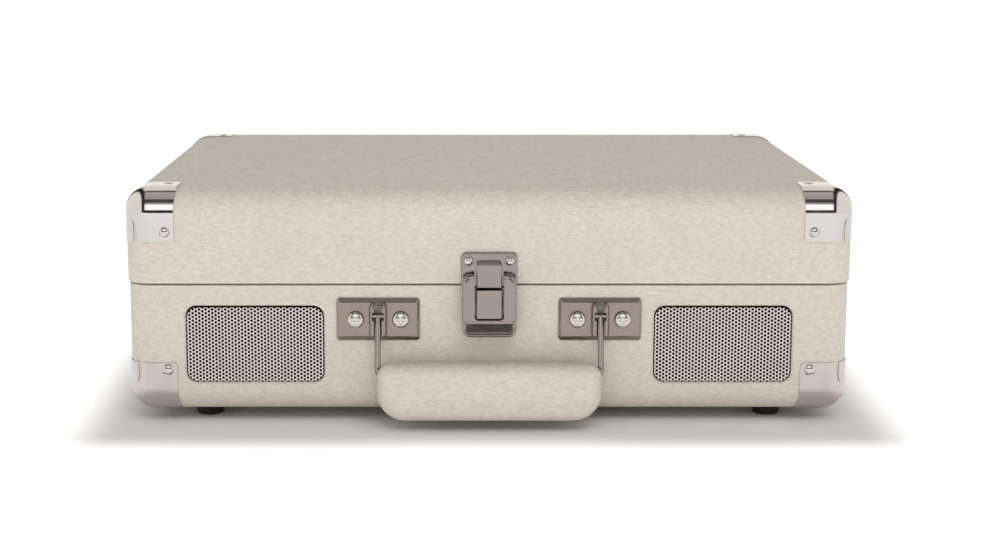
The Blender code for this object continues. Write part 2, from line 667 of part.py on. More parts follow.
def build_handle():
    """Two plates with a bridge each, four screws, a wire bail and a padded grip."""
    pivot = (0, FRONT_Y - PIVOT_OUT, PIVOT_Z)
    for side, hand in ((-1, "left"), (1, "right")):
        x = side * PLATE_X
        plate = block(
            f"handle_plate_{hand}",
            (x - PLATE_WIDTH / 2, FRONT_Y - SEAT - PLATE_SHEET, PLATE_Z - PLATE_HEIGHT / 2),
            (x + PLATE_WIDTH / 2, FRONT_Y - SEAT, PLATE_Z + PLATE_HEIGHT / 2),
            SATIN_STEEL, PLATE_SLOPE, (1,), 3,
        )
        half_bridge = BRIDGE_WIDTH / 2
        join(plate, block(
            f"bridge_{hand}", (x - half_bridge, FRONT_Y - BRIDGE_OUT, PLATE_Z - BRIDGE_HEIGHT / 2),
            (x + half_bridge, FRONT_Y - SEAT - PLATE_SHEET / 2, PLATE_Z + BRIDGE_HEIGHT / 2), None,
            1.2 * MM, (2,), 3,
        ))
        hollow_half = CROSSBAR_HALF + WIRE_ROOM
        hollow_low = PLATE_Z - BRIDGE_HEIGHT / 2 + 1 * MM
        hollow_high = PLATE_Z + BRIDGE_HEIGHT / 2 - 1 * MM
        hollow_out = PIVOT_OUT + CROSSBAR_RADIUS + SEAT
        cut(plate, block(
            f"bridge_hollow_{hand}", (x - hollow_half, FRONT_Y - hollow_out, hollow_low),
            (x + hollow_half, FRONT_Y + WALL, hollow_high),
        ))
        slot_half = WIRE_RADIUS + WIRE_ROOM
        cut(plate, block(
            f"bridge_slot_{hand}",
            (x - slot_half, FRONT_Y - 2 * BRIDGE_OUT, PLATE_Z - BRIDGE_HEIGHT / 2 - 1 * MM),
            (x + slot_half, FRONT_Y - SEAT - PLATE_SHEET - 0.2 * MM, hollow_high - 0.4 * MM),
        ))
        for number, across in enumerate((-1, 1), 1):
            centre = (x + across * SCREW_X, FRONT_Y - 2 * SEAT - PLATE_SHEET, PLATE_Z)
            profile = [
                (0, SCREW_HEIGHT), (SCREW_RADIUS * 0.45, SCREW_HEIGHT * 0.93),
                (SCREW_RADIUS * 0.8, SCREW_HEIGHT * 0.66), (SCREW_RADIUS, SCREW_HEIGHT * 0.2),
                (SCREW_RADIUS, 0), (0, 0),
            ]
            screw = turned(f"handle_screw_{hand}_{number}", profile, centre, CHROME, 20, "Y")
            for turn in (0, 90):
                slot = block(
                    f"screw_slot_{hand}_{number}_{turn}", (-SCREW_RADIUS * 0.55, -0.4 * MM, -0.4 * MM),
                    (SCREW_RADIUS * 0.55, 1.2 * MM, 0.4 * MM),
                )
                slot.location = (centre[0], centre[1] - SCREW_HEIGHT, centre[2])
                slot.rotation_euler = (0, math.radians(turn), 0)
                if turn == 0:
                    cross = slot
                else:
                    join(cross, slot)
            cut(screw, cross)
            smooth(screw)
    path = bail_path()
    bail = wire("handle_bail", path, WIRE_RADIUS, CHROME, pivot)
    for side in (-1, 1):
        bar = (side * PLATE_X, FRONT_Y - PIVOT_OUT, PIVOT_Z)
        join(bail, rod(
            f"crossbar_{side}", CROSSBAR_RADIUS, (bar[0] - CROSSBAR_HALF, *bar[1:]),
            (bar[0] + CROSSBAR_HALF, *bar[1:]), None, 12,
        ))
    smooth(bail)
    grip = flat(
        "handle_grip", rounded(GRIP_WIDTH, GRIP_HEIGHT, [
            GRIP_TOP_CORNER, GRIP_TOP_CORNER, GRIP_BOTTOM_CORNER, GRIP_BOTTOM_CORNER,
        ], 5), GRIP_DEPTH, (0, FRONT_Y - GRIP_STANDOFF, GRIP_BOTTOM + GRIP_HEIGHT / 2), LEATHERETTE, True,
        origin=pivot,
    )
    bevel = grip.modifiers.new("padding", "BEVEL")
    bevel.width = GRIP_EDGE
    bevel.segments = 4
    bevel.limit_method = "ANGLE"
    bevel.angle_limit = math.radians(60)
    bevel.use_clamp_overlap = False
    cut(grip, wire("grip_tunnel", bail_path(), WIRE_RADIUS + SEAT, None))
    smooth(grip)


def bail_path():
    """The bail's centre line: down from each pivot, round a bend and through the grip."""
    grip_y = FRONT_Y - GRIP_STANDOFF - GRIP_DEPTH / 2
    through_z = GRIP_BOTTOM + GRIP_HEIGHT * BAIL_SHARE
    bend = BAIL_BEND
    start = Vector((PLATE_X, FRONT_Y - PIVOT_OUT, PIVOT_Z))
    turn = Vector((PLATE_X, grip_y, through_z + bend))
    half = [start, (start + turn) / 2, turn]
    for x, z in arc(PLATE_X - bend, through_z + bend, bend, 0, -90, 5)[1:]:
        half.append(Vector((x, grip_y, z)))
    left = [Vector((-p.x, p.y, p.z)) for p in half]
    return left + half[::-1]


def build_latch():
    """Strike plate with its catch on the lid; base plate with ears and a lifting lever below."""
    lid_front = FRONT_Y - LID_OVERHANG
    strike = block(
        "latch_strike", (-STRIKE_WIDTH / 2, lid_front - SEAT - STRIKE_SHEET, LID_BOTTOM + SEAT),
        (STRIKE_WIDTH / 2, lid_front - SEAT, STRIKE_TOP_Z), CHROME, 2.5 * MM, (1,), 3,
    )
    join(strike, block(
        "catch_tongue", (-CATCH_WIDTH / 2, FRONT_Y - CATCH_OUT, LID_BOTTOM - CATCH_LAP),
        (CATCH_WIDTH / 2, lid_front - SEAT - STRIKE_SHEET / 2, CATCH_TOP_Z), None, CATCH_ROUND, (2,), 2,
    ))
    base_top = BASE_TOP - 1 * MM
    base = block(
        "latch_base", (-EAR_OUTER, FRONT_Y - SEAT - STRIKE_SHEET, LEVER_BOTTOM_Z + 1 * MM),
        (EAR_OUTER, FRONT_Y - SEAT, base_top), SATIN_STEEL, 1 * MM, (1,), 2,
    )
    join(base, block(
        "lower_tongue", (-CATCH_WIDTH / 2 - SEAT, FRONT_Y - CATCH_OUT, WINDOW_BOTTOM_Z + 1 * MM),
        (CATCH_WIDTH / 2 + SEAT, FRONT_Y - SEAT - STRIKE_SHEET / 2, LID_BOTTOM - CATCH_LAP - CATCH_ROUND),
        None, CATCH_ROUND, (1, 2), 2,
    ))
    for side in (-1, 1):
        x_low, x_high = sorted((side * EAR_INNER, side * EAR_OUTER))
        ear_y = FRONT_Y - LATCH_PIVOT_OUT
        ear = rod(f"ear_{side}", EAR_RADIUS, (x_low, ear_y, LATCH_PIVOT_Z), (x_high, ear_y, LATCH_PIVOT_Z))
        join(ear, block(
            f"ear_leg_{side}", (x_low, ear_y - EAR_RADIUS, base_top - EAR_HEIGHT),
            (x_high, ear_y + EAR_RADIUS, LATCH_PIVOT_Z),
        ))
        join(base, ear)
        join(base, block(
            f"ear_foot_{side}", (x_low + SEAT, ear_y, base_top - EAR_HEIGHT + SEAT),
            (x_high - SEAT, FRONT_Y - SEAT - STRIKE_SHEET / 2, base_top - SEAT),
        ))
        cut(base, rod(
            f"ear_hole_{side}", LATCH_PIN_RADIUS + SEAT,
            (x_low - 1 * MM, FRONT_Y - LATCH_PIVOT_OUT, LATCH_PIVOT_Z),
            (x_high + 1 * MM, FRONT_Y - LATCH_PIVOT_OUT, LATCH_PIVOT_Z), None, 16,
        ))
    pivot = (0, FRONT_Y - LATCH_PIVOT_OUT, LATCH_PIVOT_Z)
    lever = flat(
        "latch_lever", lever_section(), LEVER_WIDTH, (0, 0, -LEVER_WIDTH / 2), CHROME, origin=(0, 0, 0),
    )
    stand_along_x(lever, pivot)
    cut(lever, block(
        "lever_window", (-WINDOW_WIDTH / 2, FRONT_Y - 2 * LEVER_OUT, WINDOW_BOTTOM_Z),
        (WINDOW_WIDTH / 2, FRONT_Y, LEVER_TOP_Z + WALL),
    ))
    for side in (-1, 1):
        edge = side * LEVER_WIDTH / 2
        x_low, x_high = sorted((edge, edge - side * 1.2 * MM))
        join(lever, block(
            f"lever_cheek_{side}",
            (x_low, FRONT_Y - LEVER_OUT + LEVER_SHEET / 2, WINDOW_BOTTOM_Z + 5 * MM),
            (x_high, FRONT_Y - LATCH_PIVOT_OUT + 1 * MM, LEVER_TOP_Z),
        ))
        join(lever, rod(
            f"lever_pin_{side}", LATCH_PIN_RADIUS,
            (side * (EAR_INNER - 0.4 * MM), pivot[1], pivot[2]),
            (edge - side * 0.6 * MM, pivot[1], pivot[2]),
            None, 16,
        ))
    smooth(lever)


def lever_section():
    """Side view of the lever's sheet as (height, reach): straight down, then out to a lip."""
    outer = LEVER_OUT
    inner = LEVER_OUT - LEVER_SHEET
    knee = WINDOW_BOTTOM_Z - 0.5 * MM
    return [
        (inner, LEVER_TOP_Z), (outer - LEVER_ROLL, LEVER_TOP_Z),
        (outer, LEVER_TOP_Z - LEVER_ROLL), (outer, knee),
        (outer + LEVER_LIP, LEVER_BOTTOM_Z + 1 * MM), (outer + LEVER_LIP, LEVER_BOTTOM_Z),
        (outer + LEVER_LIP - LEVER_SHEET, LEVER_BOTTOM_Z), (inner, knee - 1 * MM),
    ]


def stand_along_x(piece, pivot):
    """Turns a section drawn as (reach, height) so that it runs along X, with reach to the front."""
    turn = Matrix(((0, 0, 1, 0), (-1, 0, 0, FRONT_Y), (0, 1, 0, 0), (0, 0, 0, 1)))
    piece.data.transform(Matrix.Translation(-Vector(pivot)) @ turn)
    piece.data.update()
    piece.location = pivot
    bm = bmesh.new()
    bm.from_mesh(piece.data)
    bmesh.ops.recalc_face_normals(bm, faces=bm.faces)
    bm.to_mesh(piece.data)
    bm.free()


# ---- back -----------------------------------------------------------------------------------------
def build_hinges():
    third = HINGE_WIDTH / 3
    leaf_in = REAR_Y + LID_OVERHANG + SEAT
    leaf_out = leaf_in + HINGE_SHEET
    axis = (HINGE_AXIS_Y, HINGE_AXIS_Z)
    for side, hand in ((-1, "left"), (1, "right")):
        x = side * HINGE_X
        fixed = block(
            f"hinge_base_{hand}", (x - HINGE_WIDTH / 2, leaf_in, HINGE_AXIS_Z - HINGE_LEAF),
            (x + HINGE_WIDTH / 2, leaf_out, HINGE_AXIS_Z - KNUCKLE_RADIUS - KNUCKLE_GAP), SATIN_STEEL,
        )
        for end in (-1, 1):
            inner = x + end * (third / 2 + KNUCKLE_GAP / 2)
            outer = x + end * HINGE_WIDTH / 2
            join(fixed, rod(
                f"fixed_knuckle_{hand}_{end}", KNUCKLE_RADIUS, (inner, *axis), (outer, *axis), None, 16,
            ))
            x_low, x_high = sorted((inner, outer))
            join(fixed, block(
                f"fixed_wrap_{hand}_{end}", (x_low, leaf_in, HINGE_AXIS_Z - HINGE_LEAF / 2),
                (x_high, leaf_out, HINGE_AXIS_Z),
            ))
        join(fixed, rod(
            f"hinge_pin_{hand}", HINGE_PIN_RADIUS, (x - third, *axis), (x + third, *axis), None, 12,
        ))
        moving = block(
            f"hinge_lid_{hand}",
            (x - HINGE_WIDTH / 2, leaf_in, HINGE_AXIS_Z + KNUCKLE_RADIUS + KNUCKLE_GAP),
            (x + HINGE_WIDTH / 2, leaf_out, HINGE_AXIS_Z + HINGE_LEAF), SATIN_STEEL,
        )
        half = third / 2 - KNUCKLE_GAP / 2
        join(moving, rod(
            f"moving_knuckle_{hand}", KNUCKLE_RADIUS, (x - half, *axis), (x + half, *axis), None, 16,
        ))
        join(moving, block(
            f"moving_wrap_{hand}", (x - half, leaf_in, HINGE_AXIS_Z),
            (x + half, leaf_out, HINGE_AXIS_Z + HINGE_LEAF / 2),
        ))
        cut(moving, rod(
            f"knuckle_bore_{hand}", HINGE_PIN_RADIUS + SEAT,
            (x - third, *axis), (x + third, *axis), None, 12,
        ))


def build_sockets():
    """Panel behind the hole in the rear wall, with two line jacks and a power socket."""
    panel_y = REAR_Y - WALL - SEAT
    half = JACK_OPENING_WIDTH / 2 + JACK_LIP
    tall = JACK_OPENING_HEIGHT / 2 + JACK_LIP
    panel = block(
        "socket_panel", (JACK_X - half, panel_y - JACK_SHEET, JACK_Z - tall),
        (JACK_X + half, panel_y, JACK_Z + tall), PLASTIC, 1.5 * MM, (1,), 2,
    )
    jacks = (
        ("line_jack_left", -1, JACK_RADIUS, WHITE_PLASTIC, LINE_BORE),
        ("line_jack_right", 0, JACK_RADIUS, RED_PLASTIC, LINE_BORE),
        ("power_socket", 1, JACK_RADIUS, PLASTIC, POWER_BORE),
    )
    tail = JACK_RADIUS * 0.7
    for name, step, radius, finish, bore in jacks:
        centre = (JACK_X + step * JACK_PITCH, panel_y, JACK_Z)
        cut(panel, rod(
            name + "_hole", tail + SEAT, (centre[0], panel_y - 2 * JACK_SHEET, JACK_Z),
            (centre[0], panel_y + JACK_SHEET, JACK_Z), None, 20,
        ))
        back = SEAT
        front = JACK_LENGTH
        deep = -JACK_SHEET - JACK_DEPTH
        profile = [
            (bore, front), (radius, front), (radius, back), (tail, back), (tail, deep), (0, deep),
            (0, 1 * MM), (bore, 1 * MM),
        ]
        jack = loop_turned(name, profile, centre, finish, 20)
        jack.rotation_euler = (-math.pi / 2, 0, 0)
        smooth(jack)


def loop_turned(name, profile, place, finish, steps=32):
    """Turned piece whose closed section may touch the axis at two points."""
    bm = bmesh.new()
    verts = [bm.verts.new((r, 0, h)) for r, h in profile]
    for a, b in zip(verts, verts[1:] + verts[:1]):
        if a.co.x > 0 or b.co.x > 0:
            bm.edges.new((a, b))
    mesh = bpy.data.meshes.new(name)
    bm.to_mesh(mesh)
    bm.free()
    made = add_object(name, mesh, finish, place)
    screw = made.modifiers.new("turn", "SCREW")
    screw.steps = steps
    screw.render_steps = steps
    screw.use_merge_vertices = True
    screw.merge_threshold = 0.00001
    return made


# ---- deck -----------------------------------------------------------------------------------------
def build_deck():
    """Moulded top plate with a round well for the platter and holes for what passes through it."""
    half_x = CASE_WIDTH / 2 - WALL - SEAT
    front = FRONT_Y + WALL + SEAT
    rear = REAR_Y - WALL - SEAT
    deck = block(
        "deck_plate", (-half_x, front, DECK_Z - DECK_SHEET), (half_x, rear, DECK_Z),
        PLASTIC, DECK_CORNER, (2,), 3,
    )
    x, y = PLATTER_CENTRE
    well = PLATTER_RADIUS + WELL_GAP
    join(deck, rod(
        "well_pan", well + DECK_SHEET,
        (x, y, WELL_Z - DECK_SHEET), (x, y, DECK_Z - DECK_SHEET / 3), None, 64,
    ))
    cut(deck, rod("well_hollow", well, (x, y, WELL_Z), (x, y, DECK_Z + WALL), None, 64))
    holes = [
        ("spindle_hole", PLATTER_CENTRE, SPINDLE_RADIUS + SEAT),
        ("pulley_hole", PULLEY_CENTRE, PULLEY_RADIUS + 1 * MM),
        ("volume_hole", (KNOB_X, CASE_Y + VOLUME_Y), KNOB_SHAFT + SEAT),
        ("phones_hole", (KNOB_X, CASE_Y + PHONES_Y), PHONES_BARREL + SEAT),
        ("turret_hole", ARM_PIVOT, YOKE_SHAFT + 3 * MM),
    ]
    for name, (hx, hy), radius in holes:
        cut(deck, rod(name, radius, (hx, hy, WELL_Z - WALL), (hx, hy, DECK_Z + WALL), None, 20))
    slots = [
        ("speed_slot", (SPEED_X, CASE_Y + SPEED_Y), SPEED_TRAVEL),
        ("auto_stop_slot", (KNOB_X, CASE_Y + AUTO_STOP_Y), AUTO_STOP_TRAVEL),
    ]
    for name, (sx, sy), travel in slots:
        cut(deck, block(
            name, (sx - SLOT_ROOM, sy - SLOT_ROOM, DECK_Z - WALL),
            (sx + SLOT_ROOM, sy + travel + SLOT_ROOM, DECK_Z + WALL),
        ))
    ax, ay = ADAPTER_X, CASE_Y + ADAPTER_Y
    cut(deck, rod(
        "adapter_well", ADAPTER_RADIUS + 1 * MM, (ax, ay, DECK_Z - ADAPTER_WELL),
        (ax, ay, DECK_Z + WALL), None, 32,
    ))


def build_platter():
    """Platter with its drive ring, mat, fixed spindle and clip, and the belt drive below."""
    x, y = PLATTER_CENTRE
    under = PLATTER_Z - PLATTER_SHEET
    ring_low = BELT_Z - RING_DROP
    hub_low = WELL_Z + HUB_RISE
    bore = SPINDLE_RADIUS + SEAT
    profile = [
        (bore, PLATTER_Z), (PLATTER_RADIUS - 1 * MM, PLATTER_Z), (PLATTER_RADIUS, PLATTER_Z - 1 * MM),
        (PLATTER_RADIUS, PLATTER_Z - PLATTER_SKIRT),
        (PLATTER_RADIUS - RIM_WALL, PLATTER_Z - PLATTER_SKIRT),
        (PLATTER_RADIUS - RIM_WALL, under), (RING_RADIUS, under), (RING_RADIUS, ring_low),
        (RING_RADIUS - RING_WALL, ring_low), (RING_RADIUS - RING_WALL, under), (HUB_RADIUS, under),
        (HUB_RADIUS, hub_low), (bore, hub_low),
    ]
    platter = turned("platter", profile, (x, y, 0), SATIN_STEEL, 64)
    smooth(platter)
    mat_low = PLATTER_Z + SEAT
    mat = turned("slip_mat", [
        (MAT_HOLE, MAT_TOP), (MAT_RADIUS, MAT_TOP), (MAT_RADIUS, mat_low), (MAT_HOLE, mat_low),
    ], (x, y, 0), FELT, 48)
    smooth(mat)
    flange = HUB_RADIUS
    top = MAT_TOP + SPINDLE_RISE
    spindle = turned("spindle", [
        (0, top), (SPINDLE_RADIUS * 0.5, top - 0.6 * MM), (SPINDLE_RADIUS, top - 3 * MM),
        (SPINDLE_RADIUS, WELL_Z + 2 * MM), (flange, WELL_Z + 2 * MM), (flange, WELL_Z + SEAT),
        (SPINDLE_RADIUS, WELL_Z + SEAT), (SPINDLE_RADIUS, WELL_Z - DECK_SHEET - 4 * MM),
        (0, WELL_Z - DECK_SHEET - 4 * MM),
    ], (x, y, 0), CHROME, 24)
    smooth(spindle)
    clip_low = PLATTER_Z + SEAT
    outer = arc(x, y, SPINDLE_RADIUS + 3 * MM, -60, 240, 14)
    inner = arc(x, y, SPINDLE_RADIUS + SEAT, 240, -60, 14)
    flat("platter_clip", outer + inner, 0.8 * MM, (0, 0, clip_low), SATIN_STEEL)
    build_belt_drive()


def build_belt_drive():
    """Motor, its pulley, and the belt round pulley and platter ring."""
    px, py = PULLEY_CENTRE
    shaft_hole = MOTOR_SHAFT + SEAT
    motor_top = WELL_Z - DECK_SHEET - SEAT
    motor_low = motor_top - MOTOR_HEIGHT
    motor = turned("motor", [
        (shaft_hole, motor_top), (MOTOR_RADIUS, motor_top),
        (MOTOR_RADIUS, motor_low), (shaft_hole, motor_low),
    ], (px, py, 0), SATIN_STEEL, 28)
    smooth(motor)
    half = BELT_HEIGHT / 2
    lip = 1 * MM
    pulley = turned("motor_pulley", [
        (0, BELT_Z + half + lip), (PULLEY_RADIUS + lip / 2, BELT_Z + half + lip),
        (PULLEY_RADIUS + lip / 2, BELT_Z + half + SEAT), (PULLEY_RADIUS, BELT_Z + half + SEAT),
        (PULLEY_RADIUS, BELT_Z - half - lip), (MOTOR_SHAFT, BELT_Z - half - lip),
        (MOTOR_SHAFT, motor_low + 4 * MM), (0, motor_low + 4 * MM),
    ], (px, py, 0), SATIN_STEEL, 20)
    smooth(pulley)
    flat(
        "drive_belt", belt_outline(SEAT + BELT_SHEET), BELT_HEIGHT, (0, 0, BELT_Z - half), RUBBER,
        holes=[belt_outline(SEAT)],
    )


def belt_outline(offset):
    """Open belt round the drive ring and the pulley: two arcs joined by their outer tangents."""
    big = RING_RADIUS + offset
    small = PULLEY_RADIUS + offset
    lean = math.degrees(math.acos((RING_RADIUS - PULLEY_RADIUS) / PULLEY_DISTANCE))
    bearing = math.degrees(PULLEY_BEARING)
    around_ring = arc(*PLATTER_CENTRE, big, bearing + lean, bearing + 360 - lean, 40)
    around_pulley = arc(*PULLEY_CENTRE, small, bearing - lean, bearing + lean, 10)
    return around_ring + around_pulley


def build_tonearm():
    """Turret, swinging yoke, tilting arm with its cartridge and stylus, rest, clip and cue lever."""
    x, y = ARM_PIVOT
    turret_top = DECK_Z + TURRET_HEIGHT
    bore = YOKE_SHAFT + SEAT
    turret = turned("tonearm_turret", [
        (bore, turret_top), (TURRET_RADIUS - 3 * MM, turret_top), (TURRET_RADIUS, turret_top - 3 * MM),
        (TURRET_RADIUS, DECK_Z + SEAT), (bore, DECK_Z + SEAT),
    ], (x, y, 0), PLASTIC, 32)
    cue_low = (x + TURRET_RADIUS - 3 * MM, y - CUE_BRACKET_HALF, DECK_Z + SEAT)
    cue_high = (x + CUE_X + 3 * MM, y + CUE_BRACKET_HALF, DECK_Z + CUE_BRACKET_HEIGHT)
    join(turret, block("cue_bracket", cue_low, cue_high))
    cue_axis = (y, DECK_Z + CUE_AXIS_RISE)
    cut(turret, rod(
        "cue_bore", CUE_SHAFT + SEAT,
        (x + CUE_X - 5 * MM, *cue_axis), (x + CUE_X + 9 * MM, *cue_axis), None, 16,
    ))
    smooth(turret)
    yoke_low = turret_top + SEAT
    yoke_disc_top = yoke_low + YOKE_DISC
    yoke = turned("tonearm_yoke", [
        (0, yoke_disc_top), (YOKE_RADIUS, yoke_disc_top), (YOKE_RADIUS, yoke_low), (YOKE_SHAFT, yoke_low),
        (YOKE_SHAFT, DECK_Z - 6 * MM), (0, DECK_Z - 6 * MM),
    ], (x, y, 0), PLASTIC, 28)
    for side in (-1, 1):
        x_low, x_high = sorted((x + side * CHEEK_INNER, x + side * (CHEEK_INNER + CHEEK_SHEET)))
        join(yoke, block(
            f"cheek_{side}", (x_low, y - CHEEK_HALF, yoke_disc_top - 1 * MM),
            (x_high, y + CHEEK_HALF, ARM_AXIS_Z + CHEEK_ABOVE),
        ))
        cut(yoke, rod(
            f"trunnion_bore_{side}", TRUNNION_RADIUS + SEAT, (x_low - 1 * MM, y, ARM_AXIS_Z),
            (x_high + 1 * MM, y, ARM_AXIS_Z), None, 16,
        ))
    smooth(yoke)
    build_arm(x, y)
    build_rest(x)
    cue_y, cue_z = cue_axis
    lever_x = x + CUE_X + 3 * MM + SEAT
    lever = rod(
        "cue_lever", CUE_SHAFT, (x + CUE_X - 4 * MM, cue_y, cue_z), (lever_x + 2 * MM, cue_y, cue_z),
        PLASTIC, 14, (x + CUE_X, cue_y, cue_z),
    )
    join(lever, block(
        "cue_arm", (lever_x, cue_y - CUE_LEVER_LENGTH, cue_z - 1.5 * MM),
        (lever_x + 4 * MM, cue_y + 3 * MM, cue_z + 2.5 * MM), None, 1 * MM, (0,), 2,
    ))


def build_arm(x, y):
    """Arm tube, headshell, counterweight, cartridge and stylus over the yoke at x, y."""
    pivot = (x, y, ARM_AXIS_Z)
    tip_y = y - ARM_LENGTH
    arm = rod(
        "tonearm", ARM_RADIUS, (x, y + YOKE_RADIUS + 2 * COUNTERWEIGHT_GAP, ARM_AXIS_Z),
        (x, tip_y + HEADSHELL_LENGTH / 2, ARM_AXIS_Z), PLASTIC, 16, pivot,
    )
    join(arm, rod(
        "trunnions", TRUNNION_RADIUS, (x - CHEEK_INNER - CHEEK_SHEET, y, ARM_AXIS_Z),
        (x + CHEEK_INNER + CHEEK_SHEET, y, ARM_AXIS_Z), None, 12,
    ))
    join(arm, rod(
        "counterweight", COUNTERWEIGHT_RADIUS, (x, y + YOKE_RADIUS + COUNTERWEIGHT_GAP, ARM_AXIS_Z),
        (x, y + YOKE_RADIUS + COUNTERWEIGHT_GAP + COUNTERWEIGHT_LENGTH, ARM_AXIS_Z), None, 20,
    ))
    shell_low = ARM_AXIS_Z - ARM_RADIUS + HEADSHELL_LAP
    join(arm, block(
        "headshell", (x - HEADSHELL_WIDTH / 2, tip_y - HEADSHELL_AHEAD, shell_low),
        (x + HEADSHELL_WIDTH / 2, tip_y - HEADSHELL_AHEAD + HEADSHELL_LENGTH, shell_low + HEADSHELL_SHEET),
        None, 3 * MM, (2,), 3,
    ))
    join(arm, block(
        "finger_lift", (x + HEADSHELL_WIDTH / 2 - 2 * MM, tip_y - 2 * MM, shell_low + 1 * MM),
        (x + HEADSHELL_WIDTH / 2 + 9 * MM, tip_y + 3 * MM, shell_low + 2.4 * MM), None, 1 * MM, (2,), 2,
    ))
    smooth(arm)
    cart_high = shell_low - SEAT
    cart_low = cart_high - CARTRIDGE_HEIGHT
    block(
        "cartridge", (x - CARTRIDGE_WIDTH / 2, tip_y - CARTRIDGE_AHEAD, cart_low),
        (x + CARTRIDGE_WIDTH / 2, tip_y - CARTRIDGE_AHEAD + CARTRIDGE_LENGTH, cart_high),
        PLASTIC, 1 * MM, (2,), 2, pivot,
    )
    stylus = block(
        "stylus", (x - STYLUS_HALF, tip_y - STYLUS_HALF, cart_low - SEAT - 1 * MM),
        (x + STYLUS_HALF, tip_y + 3 * STYLUS_HALF, cart_low - SEAT), RED_PLASTIC, origin=pivot,
    )
    tip_top = cart_low - SEAT - 0.5 * MM
    join(stylus, rod("stylus_tip", 0.6 * MM, (x, tip_y, RECORD_TOP + SEAT), (x, tip_y, tip_top), None, 8))


def build_rest(x):
    """Rest for the tonearm, with a clip that swings over it."""
    rest_y = CASE_Y + REST_Y
    ledge = ARM_AXIS_Z - ARM_RADIUS - SEAT
    wall_x = x + ARM_RADIUS + REST_GAP
    clip_z = ARM_AXIS_Z + ARM_RADIUS + SEAT + CLIP_RISE
    half = REST_WIDTH / 2
    rest = block(
        "arm_rest", (x - 3 * MM, rest_y - half, DECK_Z + SEAT),
        (wall_x + REST_WALL, rest_y + half, ledge), PLASTIC,
    )
    join(rest, block(
        "rest_wall", (wall_x, rest_y - half, ledge - 1 * MM),
        (wall_x + REST_WALL, rest_y - 1 * MM, clip_z + 2 * MM),
    ))
    pivot = (wall_x + REST_WALL / 2, rest_y, clip_z)
    cut(rest, rod(
        "clip_bore", CLIP_PIN + SEAT, (pivot[0], rest_y - 2 * half, clip_z),
        (pivot[0], rest_y + half, clip_z), None, 12,
    ))
    clip = rod(
        "arm_clip", CLIP_PIN, (pivot[0], rest_y - half + 1 * MM, clip_z),
        (pivot[0], rest_y + 2 * MM, clip_z), PLASTIC, 12, pivot,
    )
    join(clip, block(
        "clip_blade", (pivot[0] - CLIP_HALF, rest_y - 1 * MM + SEAT, clip_z - CLIP_HALF),
        (pivot[0] + CLIP_HALF, rest_y + half, clip_z + CLIP_LENGTH), None,
    ))


def build_controls():
    """Volume knob, selector switches, phones socket and single adapter on the deck."""
    x = KNOB_X
    y = CASE_Y + VOLUME_Y
    low = DECK_Z + SEAT
    top = low + VOLUME_HEIGHT
    volume = turned("volume_knob", [
        (0, top), (VOLUME_RADIUS - 1 * MM, top), (VOLUME_RADIUS, top - 1 * MM), (VOLUME_RADIUS, low),
        (KNOB_SHAFT, low), (KNOB_SHAFT, DECK_Z - 10 * MM), (0, DECK_Z - 10 * MM),
    ], (x, y, 0), PLASTIC, 32)
    cut(volume, block(
        "volume_mark", (x - MARK_HALF, y + VOLUME_RADIUS * 0.4, top - MARK_DEPTH),
        (x + MARK_HALF, y + 2 * VOLUME_RADIUS, top + MM),
    ))
    smooth(volume)
    phones_low = DECK_Z + SEAT
    phones = turned("headphone_socket", [
        (PHONES_BORE, phones_low + PHONES_FLANGE), (PHONES_NUT, phones_low + PHONES_FLANGE),
        (PHONES_NUT, phones_low), (PHONES_BARREL, phones_low),
        (PHONES_BARREL, DECK_Z - PHONES_DEPTH), (PHONES_BORE, DECK_Z - PHONES_DEPTH),
    ], (x, CASE_Y + PHONES_Y, 0), SATIN_STEEL, 20)
    smooth(phones)
    slide_switch("speed_switch", SPEED_X, CASE_Y + SPEED_Y)
    slide_switch("auto_stop_switch", KNOB_X, CASE_Y + AUTO_STOP_Y)
    ax, ay = ADAPTER_X, CASE_Y + ADAPTER_Y
    adapter_low = DECK_Z - ADAPTER_WELL + SEAT
    adapter = turned("single_adapter", [
        (SPINDLE_RADIUS + SEAT, adapter_low + ADAPTER_HEIGHT),
        (ADAPTER_RADIUS - 1 * MM, adapter_low + ADAPTER_HEIGHT),
        (ADAPTER_RADIUS, adapter_low + ADAPTER_HEIGHT - 1 * MM), (ADAPTER_RADIUS, adapter_low),
        (SPINDLE_RADIUS + SEAT, adapter_low),
    ], (ax, ay, 0), PLASTIC, 32)
    smooth(adapter)


def slide_switch(name, x, y):
    """Small slide button over its slot, with a stem through the deck."""
    button = block(
        name, (x - BUTTON_HALF_X, y - BUTTON_HALF_Y, DECK_Z + SEAT),
        (x + BUTTON_HALF_X, y + BUTTON_HALF_Y, DECK_Z + BUTTON_RISE), PLASTIC, origin=(x, y, DECK_Z),
    )
    join(button, block(
        name + "_stem", (x - STEM_HALF, y - STEM_HALF, DECK_Z - STEM_DEPTH),
        (x + STEM_HALF, y + STEM_HALF, DECK_Z + 1 * MM),
    ))


